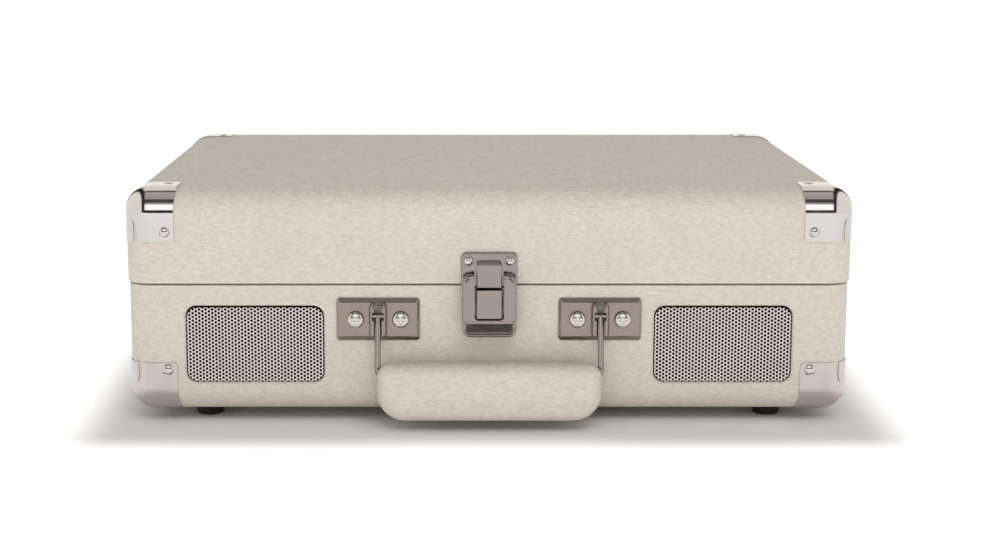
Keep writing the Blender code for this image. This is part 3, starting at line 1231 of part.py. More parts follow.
def build_board():
    """Amplifier board on four stands, with its largest components."""
    x, y = BOARD_X, CASE_Y + BOARD_Y
    low = FLOOR_Z + SEAT + BOARD_STAND
    half_x = BOARD_WIDTH / 2
    half_y = BOARD_DEPTH / 2
    board = block(
        "circuit_board", (x - half_x, y - half_y, low),
        (x + half_x, y + half_y, low + BOARD_SHEET), BOARD_GREEN,
    )
    inset = 2 * STAND_RADIUS
    for sx in (-1, 1):
        for sy in (-1, 1):
            cx = x + sx * (half_x - inset)
            cy = y + sy * (half_y - inset)
            join(board, rod(
                f"stand_{sx}_{sy}", STAND_RADIUS, (cx, cy, FLOOR_Z + SEAT),
                (cx, cy, low + BOARD_SHEET / 2), None, 10,
            ))
    for name, dx, dy, half, tall in BOARD_PARTS:
        cx = x + dx * MM
        cy = y + dy * MM
        join(board, block(
            name, (cx - half * MM, cy - half * MM, low + BOARD_SHEET / 2),
            (cx + half * MM, cy + half * MM, low + BOARD_SHEET + tall * MM),
        ))


build_base()
build_lid()
build_caps()
build_feet()
build_speakers()
build_handle()
build_latch()
build_hinges()
build_sockets()
build_deck()
build_platter()
build_tonearm()
build_controls()
build_board()
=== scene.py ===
# %% [markdown]
# # A suitcase record player
#
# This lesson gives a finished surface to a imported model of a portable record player: a covered
# case with chromed corners, a drop handle, a draw latch and a small turntable under the lid.
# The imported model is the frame. It already has every size and every moving body, so each piece
# here takes its place from the frame and rides on one of its bodies.

import json
import math

import bmesh
import bpy
import numpy as np
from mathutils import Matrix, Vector

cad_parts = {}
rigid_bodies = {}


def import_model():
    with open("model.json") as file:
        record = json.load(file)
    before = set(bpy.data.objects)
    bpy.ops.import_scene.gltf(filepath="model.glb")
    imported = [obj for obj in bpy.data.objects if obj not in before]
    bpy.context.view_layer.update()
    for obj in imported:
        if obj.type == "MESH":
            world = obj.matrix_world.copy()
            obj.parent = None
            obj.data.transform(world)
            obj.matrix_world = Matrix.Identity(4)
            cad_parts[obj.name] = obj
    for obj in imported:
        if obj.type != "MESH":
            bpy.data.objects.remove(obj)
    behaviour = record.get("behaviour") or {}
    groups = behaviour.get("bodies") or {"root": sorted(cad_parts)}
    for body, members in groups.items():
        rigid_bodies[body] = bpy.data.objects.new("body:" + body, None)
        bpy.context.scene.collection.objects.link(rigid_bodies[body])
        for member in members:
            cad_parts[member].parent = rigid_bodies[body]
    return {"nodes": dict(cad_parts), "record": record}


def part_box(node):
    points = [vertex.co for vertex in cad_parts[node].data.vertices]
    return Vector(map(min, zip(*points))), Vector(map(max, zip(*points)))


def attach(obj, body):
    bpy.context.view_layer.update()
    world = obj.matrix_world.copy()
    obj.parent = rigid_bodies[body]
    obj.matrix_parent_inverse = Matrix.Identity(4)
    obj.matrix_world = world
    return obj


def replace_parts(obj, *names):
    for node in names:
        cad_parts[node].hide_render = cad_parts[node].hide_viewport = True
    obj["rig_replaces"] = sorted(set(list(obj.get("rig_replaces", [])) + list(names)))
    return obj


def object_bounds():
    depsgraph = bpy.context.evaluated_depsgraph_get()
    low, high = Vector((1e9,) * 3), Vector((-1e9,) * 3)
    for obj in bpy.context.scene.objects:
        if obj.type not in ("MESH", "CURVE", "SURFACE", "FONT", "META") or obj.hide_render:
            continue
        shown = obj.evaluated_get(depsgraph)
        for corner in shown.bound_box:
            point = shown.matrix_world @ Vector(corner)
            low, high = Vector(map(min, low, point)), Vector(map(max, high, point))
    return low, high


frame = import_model()
CAD_BOX = [list(corner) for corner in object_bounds()]
MM = 0.001

# %% [markdown]
# ## Tools for making surfaces
#
# A surface can be pushed and pulled by hand, built from primitives, or worked out as a function.
# Here most shapes are functions of two parameters: a grid of points, one row for each step of the
# first parameter and one column for each step of the second. The grid is computed as one array,
# then its neighbours are joined into four-sided faces.

# %% Grids to meshes
def grid_faces(rows, columns, close_rows, close_columns, first=0):
    """Corner numbers of the faces between neighbouring rows and columns, wrapping where closed."""
    index = first + np.arange(rows * columns).reshape(rows, columns)
    if close_rows:
        index = np.vstack([index, index[:1]])
    if close_columns:
        index = np.hstack([index, index[:, :1]])
    corners = (index[:-1, :-1], index[1:, :-1], index[1:, 1:], index[:-1, 1:])
    return np.stack(corners, -1).reshape(-1, 4)


def skin(name, grids, finish, close_rows=False, close_columns=True, angle=40, outward=True):
    """One mesh from one or more grids of points; equal points merge, so poles and seams close."""
    points = []
    faces = []
    count = 0
    for grid in grids:
        rows, columns, _ = grid.shape
        faces.append(grid_faces(rows, columns, close_rows, close_columns, count))
        points.append(grid.reshape(-1, 3))
        count += rows * columns
    mesh = bpy.data.meshes.new(name)
    mesh.from_pydata(np.concatenate(points).tolist(), [], np.concatenate(faces).tolist())
    bm = bmesh.new()
    bm.from_mesh(mesh)
    bmesh.ops.remove_doubles(bm, verts=bm.verts, dist=1e-6)
    bmesh.ops.dissolve_degenerate(bm, edges=bm.edges, dist=1e-7)
    if outward:
        bmesh.ops.recalc_face_normals(bm, faces=bm.faces)
    bm.to_mesh(mesh)
    bm.free()
    return add_piece(name, mesh, finish, angle)


def add_piece(name, mesh, finish, angle=40):
    """Object at the origin, smooth except at edges sharper than the angle."""
    piece = bpy.data.objects.new(name, mesh)
    bpy.context.scene.collection.objects.link(piece)
    if finish:
        mesh.materials.clear()
        mesh.materials.append(finish)
    mesh.shade_smooth()
    mesh.set_sharp_from_angle(angle=math.radians(angle))
    return piece


def rectangle_path(half_x, half_y, radius, inset, corner_steps=8):
    """Points round a rounded rectangle drawn inwards by inset: four arcs, which shrink with it."""
    radius = max(radius - inset, 0.0)
    reach_x = max(half_x - inset, 0.0) - radius
    reach_y = max(half_y - inset, 0.0) - radius
    turn = np.linspace(0, math.pi / 2, corner_steps + 1)
    angles = np.concatenate([turn + quarter * math.pi / 2 for quarter in range(4)])
    sign_x = np.repeat([1, -1, -1, 1], corner_steps + 1)
    sign_y = np.repeat([1, 1, -1, -1], corner_steps + 1)
    return np.stack([
        sign_x * reach_x + radius * np.cos(angles),
        sign_y * reach_y + radius * np.sin(angles),
    ], -1)


def carried(profile, half_x, half_y, radius, centre, corner_steps=8, front=False):
    """Grid of a profile of (inset, height) pairs carried round a rounded rectangle.

    The height runs along Z, or towards the viewer (-Y) where front is set.
    """
    loops = [rectangle_path(half_x, half_y, radius, inset, corner_steps) for inset, _ in profile]
    flat = np.stack(loops)
    height = np.broadcast_to(np.array([h for _, h in profile])[:, None, None], (*flat.shape[:2], 1))
    if front:
        grid = np.concatenate([flat[..., :1], -height, flat[..., 1:]], -1)
    else:
        grid = np.concatenate([flat, height], -1)
    return grid + np.array(centre)


def turned(profile, centre, steps=48, axis="Z"):
    """Grid of a profile of (radius, height) pairs turned about an axis through the centre."""
    profile = np.array(profile, float)
    angle = np.linspace(0, 2 * math.pi, steps, endpoint=False)
    ring = np.stack([np.cos(angle), np.sin(angle)], -1)
    flat = profile[:, :1, None] * ring[None]
    height = np.broadcast_to(profile[:, 1:, None], (len(profile), steps, 1))
    grid = np.concatenate([flat, height], -1)
    order = {"Z": [0, 1, 2], "Y": [0, 2, 1], "X": [2, 0, 1]}[axis]
    grid = grid[..., order]
    if axis == "Y":
        grid = grid * np.array([1, -1, 1])
    return grid + np.array(centre)


def arc(cx, cy, radius, start, end, steps=6):
    """(x, y) pairs along an arc, in degrees."""
    angle = np.radians(np.linspace(start, end, steps + 1))
    return [(cx + radius * c, cy + radius * s) for c, s in zip(np.cos(angle), np.sin(angle))]


def tube(path, radius, sides=16, caps=True):
    """Grid of a round tube along a path; each ring stands square to the path's direction."""
    path = np.array(path, float)
    way = np.gradient(path, axis=0)
    way /= np.linalg.norm(way, axis=1)[:, None]
    side = np.cross(way, [0.0, 1.0, 0.0])
    flat = np.linalg.norm(side, axis=1) < 1e-6
    side[flat] = [1.0, 0.0, 0.0]
    side /= np.linalg.norm(side, axis=1)[:, None]
    up = np.cross(side, way)
    angle = np.linspace(0, 2 * math.pi, sides, endpoint=False)[None, :, None]
    rings = path[:, None] + radius * (np.cos(angle) * side[:, None] + np.sin(angle) * up[:, None])
    if caps:
        first = np.broadcast_to(path[0], (1, sides, 3))
        last = np.broadcast_to(path[-1], (1, sides, 3))
        rings = np.concatenate([first, rings, last])
    return rings


# %% [markdown]
# Holes are cut with a Boolean. Its result is kept as a plain mesh and the cutter is thrown away,
# so that nothing invisible is left in the scene. A piece that the frame already shapes well is
# copied from its node: the copy's loose triangles are merged, its edges broken with a small bevel.

# %% Cutting, joining and refining
def keep_result(piece):
    """Replaces a piece's mesh by what its modifiers make of it."""
    bpy.context.view_layer.update()
    evaluated = piece.evaluated_get(bpy.context.evaluated_depsgraph_get())
    mesh = bpy.data.meshes.new_from_object(evaluated)
    piece.modifiers.clear()
    piece.data = mesh
    return piece


def combine(piece, tools, operation="DIFFERENCE", angle=40):
    """Cuts the tools from a piece, or joins them to it, and removes them."""
    for tool in tools:
        change = piece.modifiers.new(tool.name, "BOOLEAN")
        change.operation = operation
        change.object = tool
        change.solver = "EXACT"
    keep_result(piece)
    for tool in tools:
        bpy.data.objects.remove(tool)
    piece.data.shade_smooth()
    piece.data.set_sharp_from_angle(angle=math.radians(angle))
    return piece


def soften(piece, width, segments=2, angle=35):
    """Breaks a piece's sharp edges with a bevel and keeps flat faces flat."""
    bevel = piece.modifiers.new("broken edges", "BEVEL")
    bevel.width = width
    bevel.segments = segments
    bevel.limit_method = "ANGLE"
    bevel.angle_limit = math.radians(angle)
    bevel.harden_normals = True
    bevel.miter_outer = "MITER_ARC"
    return piece


def refined(node, finish, bevel=0.3 * MM, name=None, angle=35):
    """Merged copy of a CAD node with softened edges; it stands for the node."""
    mesh = frame["nodes"][node].data.copy()
    bm = bmesh.new()
    bm.from_mesh(mesh)
    bmesh.ops.remove_doubles(bm, verts=bm.verts, dist=1e-6)
    bmesh.ops.dissolve_limit(bm, angle_limit=math.radians(1), verts=bm.verts, edges=bm.edges)
    bm.to_mesh(mesh)
    bm.free()
    piece = add_piece(name or node + "_finished", mesh, finish, angle)
    if bevel:
        soften(piece, bevel)
    return place(piece, node)


def body_of(node):
    """Name of the body that holds a node."""
    for body, nodes in frame["record"]["behaviour"]["bodies"].items():
        if node in nodes:
            return body
    raise KeyError(node)


def place(piece, node, replaces=True):
    """Makes a piece ride on the node's body and, where asked, stand for it."""
    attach(piece, body_of(node))
    if replaces:
        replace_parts(piece, node)
    return piece


# %% [markdown]
# ## Finishes
#
# Each finish is one Principled shader fed by a few procedural patterns. Colours are written as the
# hex values a painter would pick, and one function turns them to linear light. Patterns are laid out
# in millimetres on Object coordinates, because every piece sits at the origin in its true place.

# %% Colours and nodes
def linear(hex_colour):
    """sRGB hex to linear red, green, blue and alpha: the curve is a line near black, then a power."""
    value = np.array([int(hex_colour[i:i + 2], 16) / 255 for i in (0, 2, 4)])
    light = np.where(value <= 0.04045, value / 12.92, ((value + 0.055) / 1.055) ** 2.4)
    return (*light.tolist(), 1.0)


def feed(tree, node, inputs):
    """Gives a node's inputs, by name or number, a value or a link from another node's socket."""
    for key, value in inputs.items():
        if isinstance(value, bpy.types.NodeSocket):
            tree.links.new(value, node.inputs[key])
        else:
            node.inputs[key].default_value = value
    return node


def add_node(tree, kind, inputs=None, **settings):
    """Adds a node of a kind with its own settings and its inputs."""
    node = tree.nodes.new(kind)
    for key, value in settings.items():
        setattr(node, key, value)
    return feed(tree, node, inputs or {})


def new_finish(name, colour, roughness, metallic=0.0, **sockets):
    """Material with a Principled shader; returns it with its tree, shader and coordinates."""
    made = bpy.data.materials.new(name)
    made.use_nodes = True
    tree = made.node_tree
    shader = feed(tree, tree.nodes["Principled BSDF"], {
        "Base Color": linear(colour), "Roughness": roughness, "Metallic": metallic,
        **{key.replace("_", " "): value for key, value in sockets.items()},
    })
    where = add_node(tree, "ShaderNodeTexCoord").outputs["Object"]
    return made, tree, shader, where


def vary_roughness(tree, shader, where, size, low, high):
    """Patches about size metres across, between two roughnesses, as handling leaves them."""
    patches = add_node(tree, "ShaderNodeTexNoise", {"Vector": where, "Scale": 1 / size, "Detail": 4.0})
    spread = add_node(tree, "ShaderNodeMapRange", {
        "Value": patches.outputs[0], "From Min": 0.3, "From Max": 0.72, "To Min": low, "To Max": high,
    })
    feed(tree, shader, {"Roughness": spread.outputs[0]})


def emboss(tree, shader, where, layers, normal=None):
    """Relief of noise layers, each (lump size, height, stretch along x, y and z), one over another."""
    for size, height, stretch in layers:
        placed = add_node(tree, "ShaderNodeMapping", {"Vector": where, "Scale": stretch}).outputs[0]
        lumps = add_node(tree, "ShaderNodeTexNoise", {"Vector": placed, "Scale": 1 / size, "Detail": 2.0})
        relief = {"Height": lumps.outputs[0], "Distance": height, "Strength": 0.6}
        if normal:
            relief["Normal"] = normal
        normal = add_node(tree, "ShaderNodeBump", relief).outputs[0]
    feed(tree, shader, {"Normal": normal})


def between(tree, value, low, high, first, second):
    """Colour that goes from the first to the second as a value goes from low to high."""
    share = add_node(tree, "ShaderNodeMapRange", {"Value": value, "From Min": low, "From Max": high})
    ends = {0: share.outputs[0], 6: first, 7: second}
    return add_node(tree, "ShaderNodeMix", ends, data_type="RGBA").outputs[2]


# %% [markdown]
# The case is covered in leatherette: a cloth backed with polyurethane, rolled under a steel drum
# that presses a low grain into it. The cloth comes off the roll sideways, so the grain lies in soft
# ripples two or three times as wide as they are high, with a satin sheen on each ripple's crown.

# %% Leatherette
def leatherette(name, light, dark, painted_trough_shade):
    """Ripples are stretched, slightly twisted noise; their troughs get a painted shade and are duller."""
    made, tree, shader, where = new_finish(name, light, 0.5, Specular_IOR_Level=0.3)
    wide = add_node(tree, "ShaderNodeMapping", {"Vector": where, "Scale": RIPPLE_STRETCH}).outputs[0]
    ripples = add_node(tree, "ShaderNodeTexNoise", {
        "Vector": wide, "Scale": 1 / RIPPLE, "Detail": 2.0, "Roughness": 0.6, "Distortion": 0.7,
    }).outputs[0]
    broad = add_node(tree, "ShaderNodeTexNoise", {"Vector": where, "Scale": 1 / (30 * MM), "Detail": 2.0})
    tone = between(tree, broad.outputs[0], 0.3, 0.7, linear(dark), linear(light))
    # painted shade: the troughs of the ripples take the third, darker colour
    colour = between(tree, ripples, 0.36, 0.62, linear(painted_trough_shade), tone)
    sheen = add_node(tree, "ShaderNodeMapRange", {
        "Value": ripples, "From Min": 0.3, "From Max": 0.6, "To Min": 0.62, "To Max": 0.5,
    })
    feed(tree, shader, {"Base Color": colour, "Roughness": sheen.outputs[0]})
    grains = add_node(tree, "ShaderNodeBump", {"Height": ripples, "Distance": 0.2 * MM, "Strength": 0.8})
    emboss(tree, shader, where, [(0.5 * MM, 0.01 * MM, (0.6, 0.6, 1))], grains.outputs[0])
    return made


RIPPLE = 1 * MM
RIPPLE_STRETCH = (0.32, 0.4, 1.0)
# the third colour is painted shade in the troughs of the grain
COVERING = leatherette("pebbled_leatherette", "D9D3C8", "D5CEC3", "CAC2B6")

# %% [markdown]
# Bright fittings are pressed from mild steel and plated. Polished chrome is nearly a mirror, with a
# faint haze from handling. Satin nickel was brushed before plating, so its highlights smear across
# the brushing lines. A metal keeps the default IOR; its colour does the work.

# %% Plated metals
def plated(name, colour, roughness, haze, brush, depth):
    """Plated steel: haze is the spread of roughness, brush stretches the polishing lines."""
    made, tree, shader, where = new_finish(name, colour, roughness, 1.0)
    vary_roughness(tree, shader, where, 9 * MM, roughness, roughness + haze)
    emboss(tree, shader, where, [(0.25 * MM, depth, brush)])
    return made


CHROME = plated("polished_chrome", "C6C3C0", 0.06, 0.07, (0.2, 0.2, 0.2), 0.002 * MM)
CAP_STEEL = plated("satin_cap_steel", "C6BFBC", 0.28, 0.1, (1, 1, 0.05), 0.01 * MM)
NICKEL = plated("satin_nickel", "958982", 0.24, 0.08, (0.06, 1, 1), 0.008 * MM)
LATCH_METAL = plated("bright_nickel", "938B87", 0.14, 0.07, (1, 1, 0.06), 0.006 * MM)
SCREW_STEEL = plated("nickelled_screw", "C9C2BD", 0.16, 0.06, (1, 1, 1), 0.004 * MM)
STEEL = plated("turned_steel", "B4B2B0", 0.25, 0.1, (1, 1, 1), 0.004 * MM)
ALUMINIUM = plated("turned_aluminium", "C2C2C4", 0.3, 0.08, (1, 1, 1), 0.004 * MM)
GRILLE_METAL = plated("grille_steel", "D8CFC9", 0.34, 0.06, (1, 1, 1), 0.003 * MM)

# %% [markdown]
# The turntable's deck and arm are ABS, an opaque moulding plastic. The deck's mould was
# spark-eroded, which leaves a fine matt sparkle; the knobs and the arm came from a polished mould
# and shine more. Rubber is dull, and felt and flocking are short fibres that catch a low light.

# %% Plastics, rubber, felt and board
def moulded(name, colour, roughness, grit, depth, **sockets):
    """Plastic or rubber from a mould whose texture has the given grit and depth."""
    made, tree, shader, where = new_finish(name, colour, roughness, **sockets)
    vary_roughness(tree, shader, where, 25 * MM, roughness, roughness + 0.12)
    emboss(tree, shader, where, [(grit, depth, (1, 1, 1))])
    return made


def fibrous(name, light, dark, fibre, depth):
    """Felt, flocking or cone paper: matted fibres about as long as the given size."""
    made, tree, shader, where = new_finish(name, light, 0.95, Sheen_Weight=0.4, Sheen_Roughness=0.5)
    fluff = add_node(tree, "ShaderNodeTexNoise", {
        "Vector": where, "Scale": 1 / fibre, "Detail": 4.0, "Roughness": 0.7,
    }).outputs[0]
    feed(tree, shader, {"Base Color": between(tree, fluff, 0.3, 0.7, linear(dark), linear(light))})
    emboss(tree, shader, where, [(fibre, depth, (1, 1, 1))])
    return made


DECK_ABS = moulded("spark_eroded_abs", "29292C", 0.5, 0.5 * MM, 0.03 * MM)
GLOSS_ABS = moulded("polished_abs", "17171A", 0.22, 3 * MM, 0.004 * MM)
RED_ABS = moulded("red_abs", "A5201E", 0.3, 2 * MM, 0.004 * MM)
WHITE_ABS = moulded("white_abs", "DEDCD6", 0.3, 2 * MM, 0.004 * MM)
MARKING_INK = moulded("pad_printed_ink", "C9C7C2", 0.55, 0.3 * MM, 0.003 * MM)
RUBBER = moulded("nitrile_rubber", "1C1B1B", 0.7, 0.6 * MM, 0.03 * MM)
BOARD_RESIN = moulded("solder_mask", "1F4A2A", 0.35, 1.5 * MM, 0.02 * MM)
FELT = fibrous("pressed_felt", "34322F", "1D1C1B", 0.5 * MM, 0.08 * MM)
FLOCK = fibrous("flocked_lining", "3A3632", "26231F", 0.3 * MM, 0.04 * MM)
CONE_PAPER = fibrous("cone_paper", "131211", "0B0A0A", 0.8 * MM, 0.05 * MM)
print("finishes:", len(bpy.data.materials))

# %% [markdown]
# ## Camera, floor and light
#
# The case is looked at from the front, a little from above, with a long lens. Soft light comes
# mainly from the front, so the top is a shade darker than the front. Chrome shows what stands
# round it, so the studio is painted as bands of light and dark that only reflections see.

# %% Camera
TARGET_TILT = math.radians(79.72)
camera_data = bpy.data.cameras.new("camera")
camera_data.sensor_width = 36
camera_data.lens = 69.52
camera_data.shift_x = 0.0398
camera = bpy.data.objects.new("camera", camera_data)
camera.location = (-0.0159, -1.0436, 0.2394)
camera.rotation_euler = (TARGET_TILT, 0, 0)
bpy.context.scene.collection.objects.link(camera)
bpy.context.scene.camera = camera
bpy.context.scene.view_settings.view_transform = "Standard"

# %% Floor and lights
FLOOR_REACH = 6.0
GLOW_REACH = 38 * MM
GLOW = 0.6


def make_floor(low, high):
    """Pale floor; away from the case it glows a little, as a sweep lit from below does."""
    corners = [(x * FLOOR_REACH, y * FLOOR_REACH, 0) for x, y in ((-1, -1), (1, -1), (1, 1), (-1, 1))]
    mesh = bpy.data.meshes.new("floor")
    mesh.from_pydata(corners, [], [(0, 1, 2, 3)])
    made, tree, shader, where = new_finish("floor_paper", "F1F0EE", 0.9, Specular_IOR_Level=0.1)
    middle = [(a + b) / 2 for a, b in zip(low, high)]
    half = [(b - a) / 2 for a, b in zip(low, high)]
    steps = (
        ("SUBTRACT", (middle[0], middle[1], 0)), ("ABSOLUTE", (0, 0, 0)),
        ("SUBTRACT", (half[0], half[1], 0)), ("MAXIMUM", (0, 0, 0)), ("LENGTH", (0, 0, 0)),
    )
    away = where
    for operation, other in steps:
        step = add_node(tree, "ShaderNodeVectorMath", {0: away, 1: other}, operation=operation)
        away = step.outputs["Value" if operation == "LENGTH" else "Vector"]
    glow = add_node(tree, "ShaderNodeMapRange", {
        "Value": away, "From Min": 0.0, "From Max": GLOW_REACH, "To Min": 0.0, "To Max": GLOW,
    }, interpolation_type="SMOOTHSTEP")
    feed(tree, shader, {"Emission Color": (1, 1, 1, 1), "Emission Strength": glow.outputs[0]})
    floor = add_piece("floor", mesh, made)
    return floor


def area_light(name, place, aim, width, height, power):
    """Rectangular soft light at a place, turned to face a point."""
    data = bpy.data.lights.new(name, "AREA")
    data.shape = "RECTANGLE"
    data.size = width
    data.size_y = height
    data.energy = power
    light = bpy.data.objects.new(name, data)
    light.location = place
    light.rotation_euler = (Vector(aim) - Vector(place)).to_track_quat("-Z", "Y").to_euler()
    light.visible_glossy = False
    bpy.context.scene.collection.objects.link(light)
    return light


make_floor(*CAD_BOX)
area_light("front_light", (-0.3, -2.0, 0.3), (0, 0, 0.05), 1.8, 0.5, 4.9)
area_light("top_light", (0.3, -1.4, 1.35), (0, 0, 0.05), 1.2, 0.7, 6.6)

# %% [markdown]
# The studio's bands are a ramp over the angle at which a ray leaves, counted from the floor in
# front, up over the top, and down behind. The camera itself sees plain white instead.

# %% Studio bands
STUDIO = [
    (-30, "C8C4BF"), (-9, "D0CCC7"), (-6, "1C1A19"), (8, "161413"), (12, "FFFFFF"), (34, "FFFFFF"),
    (37, "8C8884"), (43, "86827E"), (46, "3A3735"), (58, "44413F"), (62, "969290"), (98, "A09C98"),
    (101, "4A4745"), (108, "54514E"), (112, "CFCCC8"), (210, "C8C4BE"),
]
SIDE_DARK = "242221"
SIDE_LIGHT = "D8D4CF"
DARK_FROM = (0.3, 0.4)  # sideways share of a ray's direction at which the dark strip fades in
LIGHT_FROM = (0.52, 0.6)  # and the light one beyond it
AMBIENT = 0.53
REFLECTED = 1.75  # brightness of the bands in a mirror


def paint_studio(bands, power):
    """World whose brightness depends on atan2(height, forward) of the direction of a ray."""
    world = bpy.data.worlds.new("studio")
    bpy.context.scene.world = world
    world.use_nodes = True
    tree = world.node_tree
    direction = add_node(tree, "ShaderNodeTexCoord").outputs["Generated"]
    parts = add_node(tree, "ShaderNodeSeparateXYZ", {0: direction})
    forward = add_node(tree, "ShaderNodeMath", {0: parts.outputs[1], 1: -1.0}, operation="MULTIPLY")
    lifted = add_node(
        tree, "ShaderNodeMath", {0: parts.outputs[2], 1: forward.outputs[0]}, operation="ARCTAN2",
    )
    low, high = math.radians(bands[0][0]), math.radians(bands[-1][0])
    wrapped = add_node(
        tree, "ShaderNodeMath", {0: lifted.outputs[0], 1: high, 2: high - 2 * math.pi}, operation="WRAP",
    )
    share = add_node(
        tree, "ShaderNodeMapRange", {"Value": wrapped.outputs[0], "From Min": low, "From Max": high},
    )
    ramp = add_node(tree, "ShaderNodeValToRGB", {0: share.outputs[0]})
    stops = ramp.color_ramp.elements
    for number, (angle, colour) in enumerate(bands):
        place = (angle - bands[0][0]) / (bands[-1][0] - bands[0][0])
        stop = stops[number] if number < 2 else stops.new(place)
        stop.position = place
        stop.color = linear(colour)
    aside = add_node(tree, "ShaderNodeMath", {0: parts.outputs[0]}, operation="ABSOLUTE").outputs[0]
    edged = between(tree, aside, *DARK_FROM, ramp.outputs[0], linear(SIDE_DARK))
    sided = between(tree, aside, *LIGHT_FROM, edged, linear(SIDE_LIGHT))
    painted = feed(tree, tree.nodes["Background"], {"Color": sided, "Strength": REFLECTED})
    ambient = add_node(tree, "ShaderNodeBackground", {"Color": (1, 1, 1, 1), "Strength": power})
    plain = add_node(tree, "ShaderNodeBackground", {"Color": (1, 1, 1, 1), "Strength": 1.0})
    rays = add_node(tree, "ShaderNodeLightPath").outputs
    lit = add_node(tree, "ShaderNodeMixShader", {
        0: rays["Is Glossy Ray"], 1: ambient.outputs[0], 2: painted.outputs[0],
    })
    shown = add_node(tree, "ShaderNodeMixShader", {
        0: rays["Is Camera Ray"], 1: lit.outputs[0], 2: plain.outputs[0],
    })
    feed(tree, tree.nodes["World Output"], {"Surface": shown.outputs[0]})


paint_studio(STUDIO, AMBIENT)
print("camera", tuple(round(v, 3) for v in camera.location), "lights", len(bpy.data.lights))

# %% [markdown]
# ## Covered case
#
# The base is an open box of board wrapped in leatherette, and the lid is the same upside down.
# A box whose edges are all rounded is one profile carried round a rounded rectangle: the profile
# starts under the middle, turns up over the bottom edge, rolls over the rim and runs down inside.

# %% Sizes taken from the frame
base_low, base_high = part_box("base_shell")
lid_low, lid_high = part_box("lid_shell")
CASE_Y = (base_low[1] + base_high[1]) / 2
FRONT = base_low[1]
REAR = base_high[1]
SEAM = base_high[2]
LID_EDGE = lid_low[2]
TOP = lid_high[2]
EDGE = 12 * MM
WALL = 7 * MM
FLOOR_SHEET = 5 * MM
LID_SHEET = 6 * MM
RIM = 0.6 * MM
base_half = ((base_high[0] - base_low[0]) / 2, (base_high[1] - base_low[1]) / 2)
lid_half = ((lid_high[0] - lid_low[0]) / 2, (lid_high[1] - lid_low[1]) / 2)


# %% Case shells
def tray_profile(half_y, low, high, sheet):
    """(inset, height) pairs of an open box: outer floor, edge arc, wall, rolled rim, inside."""
    outside = [(half_y, low), (half_y * 0.5, low)] + arc(EDGE, low + EDGE, EDGE, 270, 180, 8)
    outside += [(0, low + (high - low) * share) for share in (0.35, 0.55, 0.75)]
    rim = arc(RIM, high - RIM, RIM, 180, 90, 4) + arc(WALL - RIM, high - RIM, RIM, 90, 0, 4)
    inside = [(WALL, low + sheet), (half_y * 0.5, low + sheet), (half_y, low + sheet)]
    return outside + rim + inside


def tray(name, half, low, high, sheet, flip=False):
    """Open box; flip turns it over between the same two heights."""
    profile = tray_profile(half[1], low, high, sheet)
    if flip:
        profile = [(inset, low + high - height) for inset, height in profile]
    return skin(name, [carried(profile, *half, EDGE, (0, CASE_Y, 0), 10)], COVERING)


def opening_cutter(name, centre_x, centre_z, width, height, corner, face_y, towards, lip, depth):
    """Tool for a hole with a rolled lip: a rounded rectangle that flares by a quarter circle."""
    profile = [(min(width, height) / 2, 2 * lip), (-lip, 2 * lip), (-lip, 0)]
    turn = np.linspace(0, math.pi / 2, 6)[1:]
    profile += [(-lip + (lip - lip * math.cos(a)), -lip * math.sin(a)) for a in turn]
    profile += [(0, -depth), (min(width, height) / 2, -depth)]
    grid = carried(profile, width / 2, height / 2, corner, (0, 0, 0), 6, front=True)
    grid[..., 1] *= -towards
    grid += np.array((centre_x, face_y, centre_z))
    return skin(name, [grid], None)


grille_boxes = {hand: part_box(f"grille_{hand}") for hand in ("left", "right")}
GRILLE_CORNER = 5 * MM
GRILLE_LIP = 0.6 * MM
GRILLE_ROOM = 0.3 * MM
openings = []
for hand, (low, high) in grille_boxes.items():
    openings.append(opening_cutter(
        f"speaker_opening_{hand}", (low[0] + high[0]) / 2, (low[2] + high[2]) / 2,
        high[0] - low[0] + 2 * GRILLE_ROOM, high[2] - low[2] + 2 * GRILLE_ROOM, GRILLE_CORNER + GRILLE_ROOM,
        FRONT, -1, GRILLE_LIP, 2 * WALL,
    ))
base = tray("base_covering", base_half, base_low[2], SEAM, FLOOR_SHEET)
combine(base, openings)
place(base, "base_shell")
lid = tray("lid_covering", lid_half, LID_EDGE, TOP, LID_SHEET, flip=True)
place(lid, "lid_shell")
print("case:", [round(v / MM, 1) for v in (base_high[0] - base_low[0], REAR - FRONT, TOP)])

# %% [markdown]
# A leatherette cover has no part of its own for the rear socket hole's edge: the cloth is turned in
# and glued behind the panel. The hole is cut with a smaller lip than the speakers have.

# %% Socket opening
panel_low, panel_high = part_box("socket_panel")
JACK_LIP = 5 * MM
combine(base, [opening_cutter(
    "socket_opening", (panel_low[0] + panel_high[0]) / 2, (panel_low[2] + panel_high[2]) / 2,
    panel_high[0] - panel_low[0] - 2 * JACK_LIP, panel_high[2] - panel_low[2] - 2 * JACK_LIP, 2 * MM,
    REAR, 1, 0.8 * MM, 2 * WALL,
)])

# %% [markdown]
# ## Corner caps
#
# A cap is one blank of sheet steel drawn over a corner, with a slit where the metal would pile up.
# It is worked out by taking points on the flat faces of a sharp corner and pushing each away from
# an inner box: near the edges they land on round edges, and at the corner on part of a sphere.

# %% Cap surface
CAP_SHEET = 0.5 * MM
CAP_LEVEL = 0.55 * MM  # outer face of the sheet above the covering
SLIT = 2.6 * MM
SLIT_LEAN = 4 * MM  # how far the slit stands towards the front of the corner's middle
CAP_ROUND = 1.8 * MM


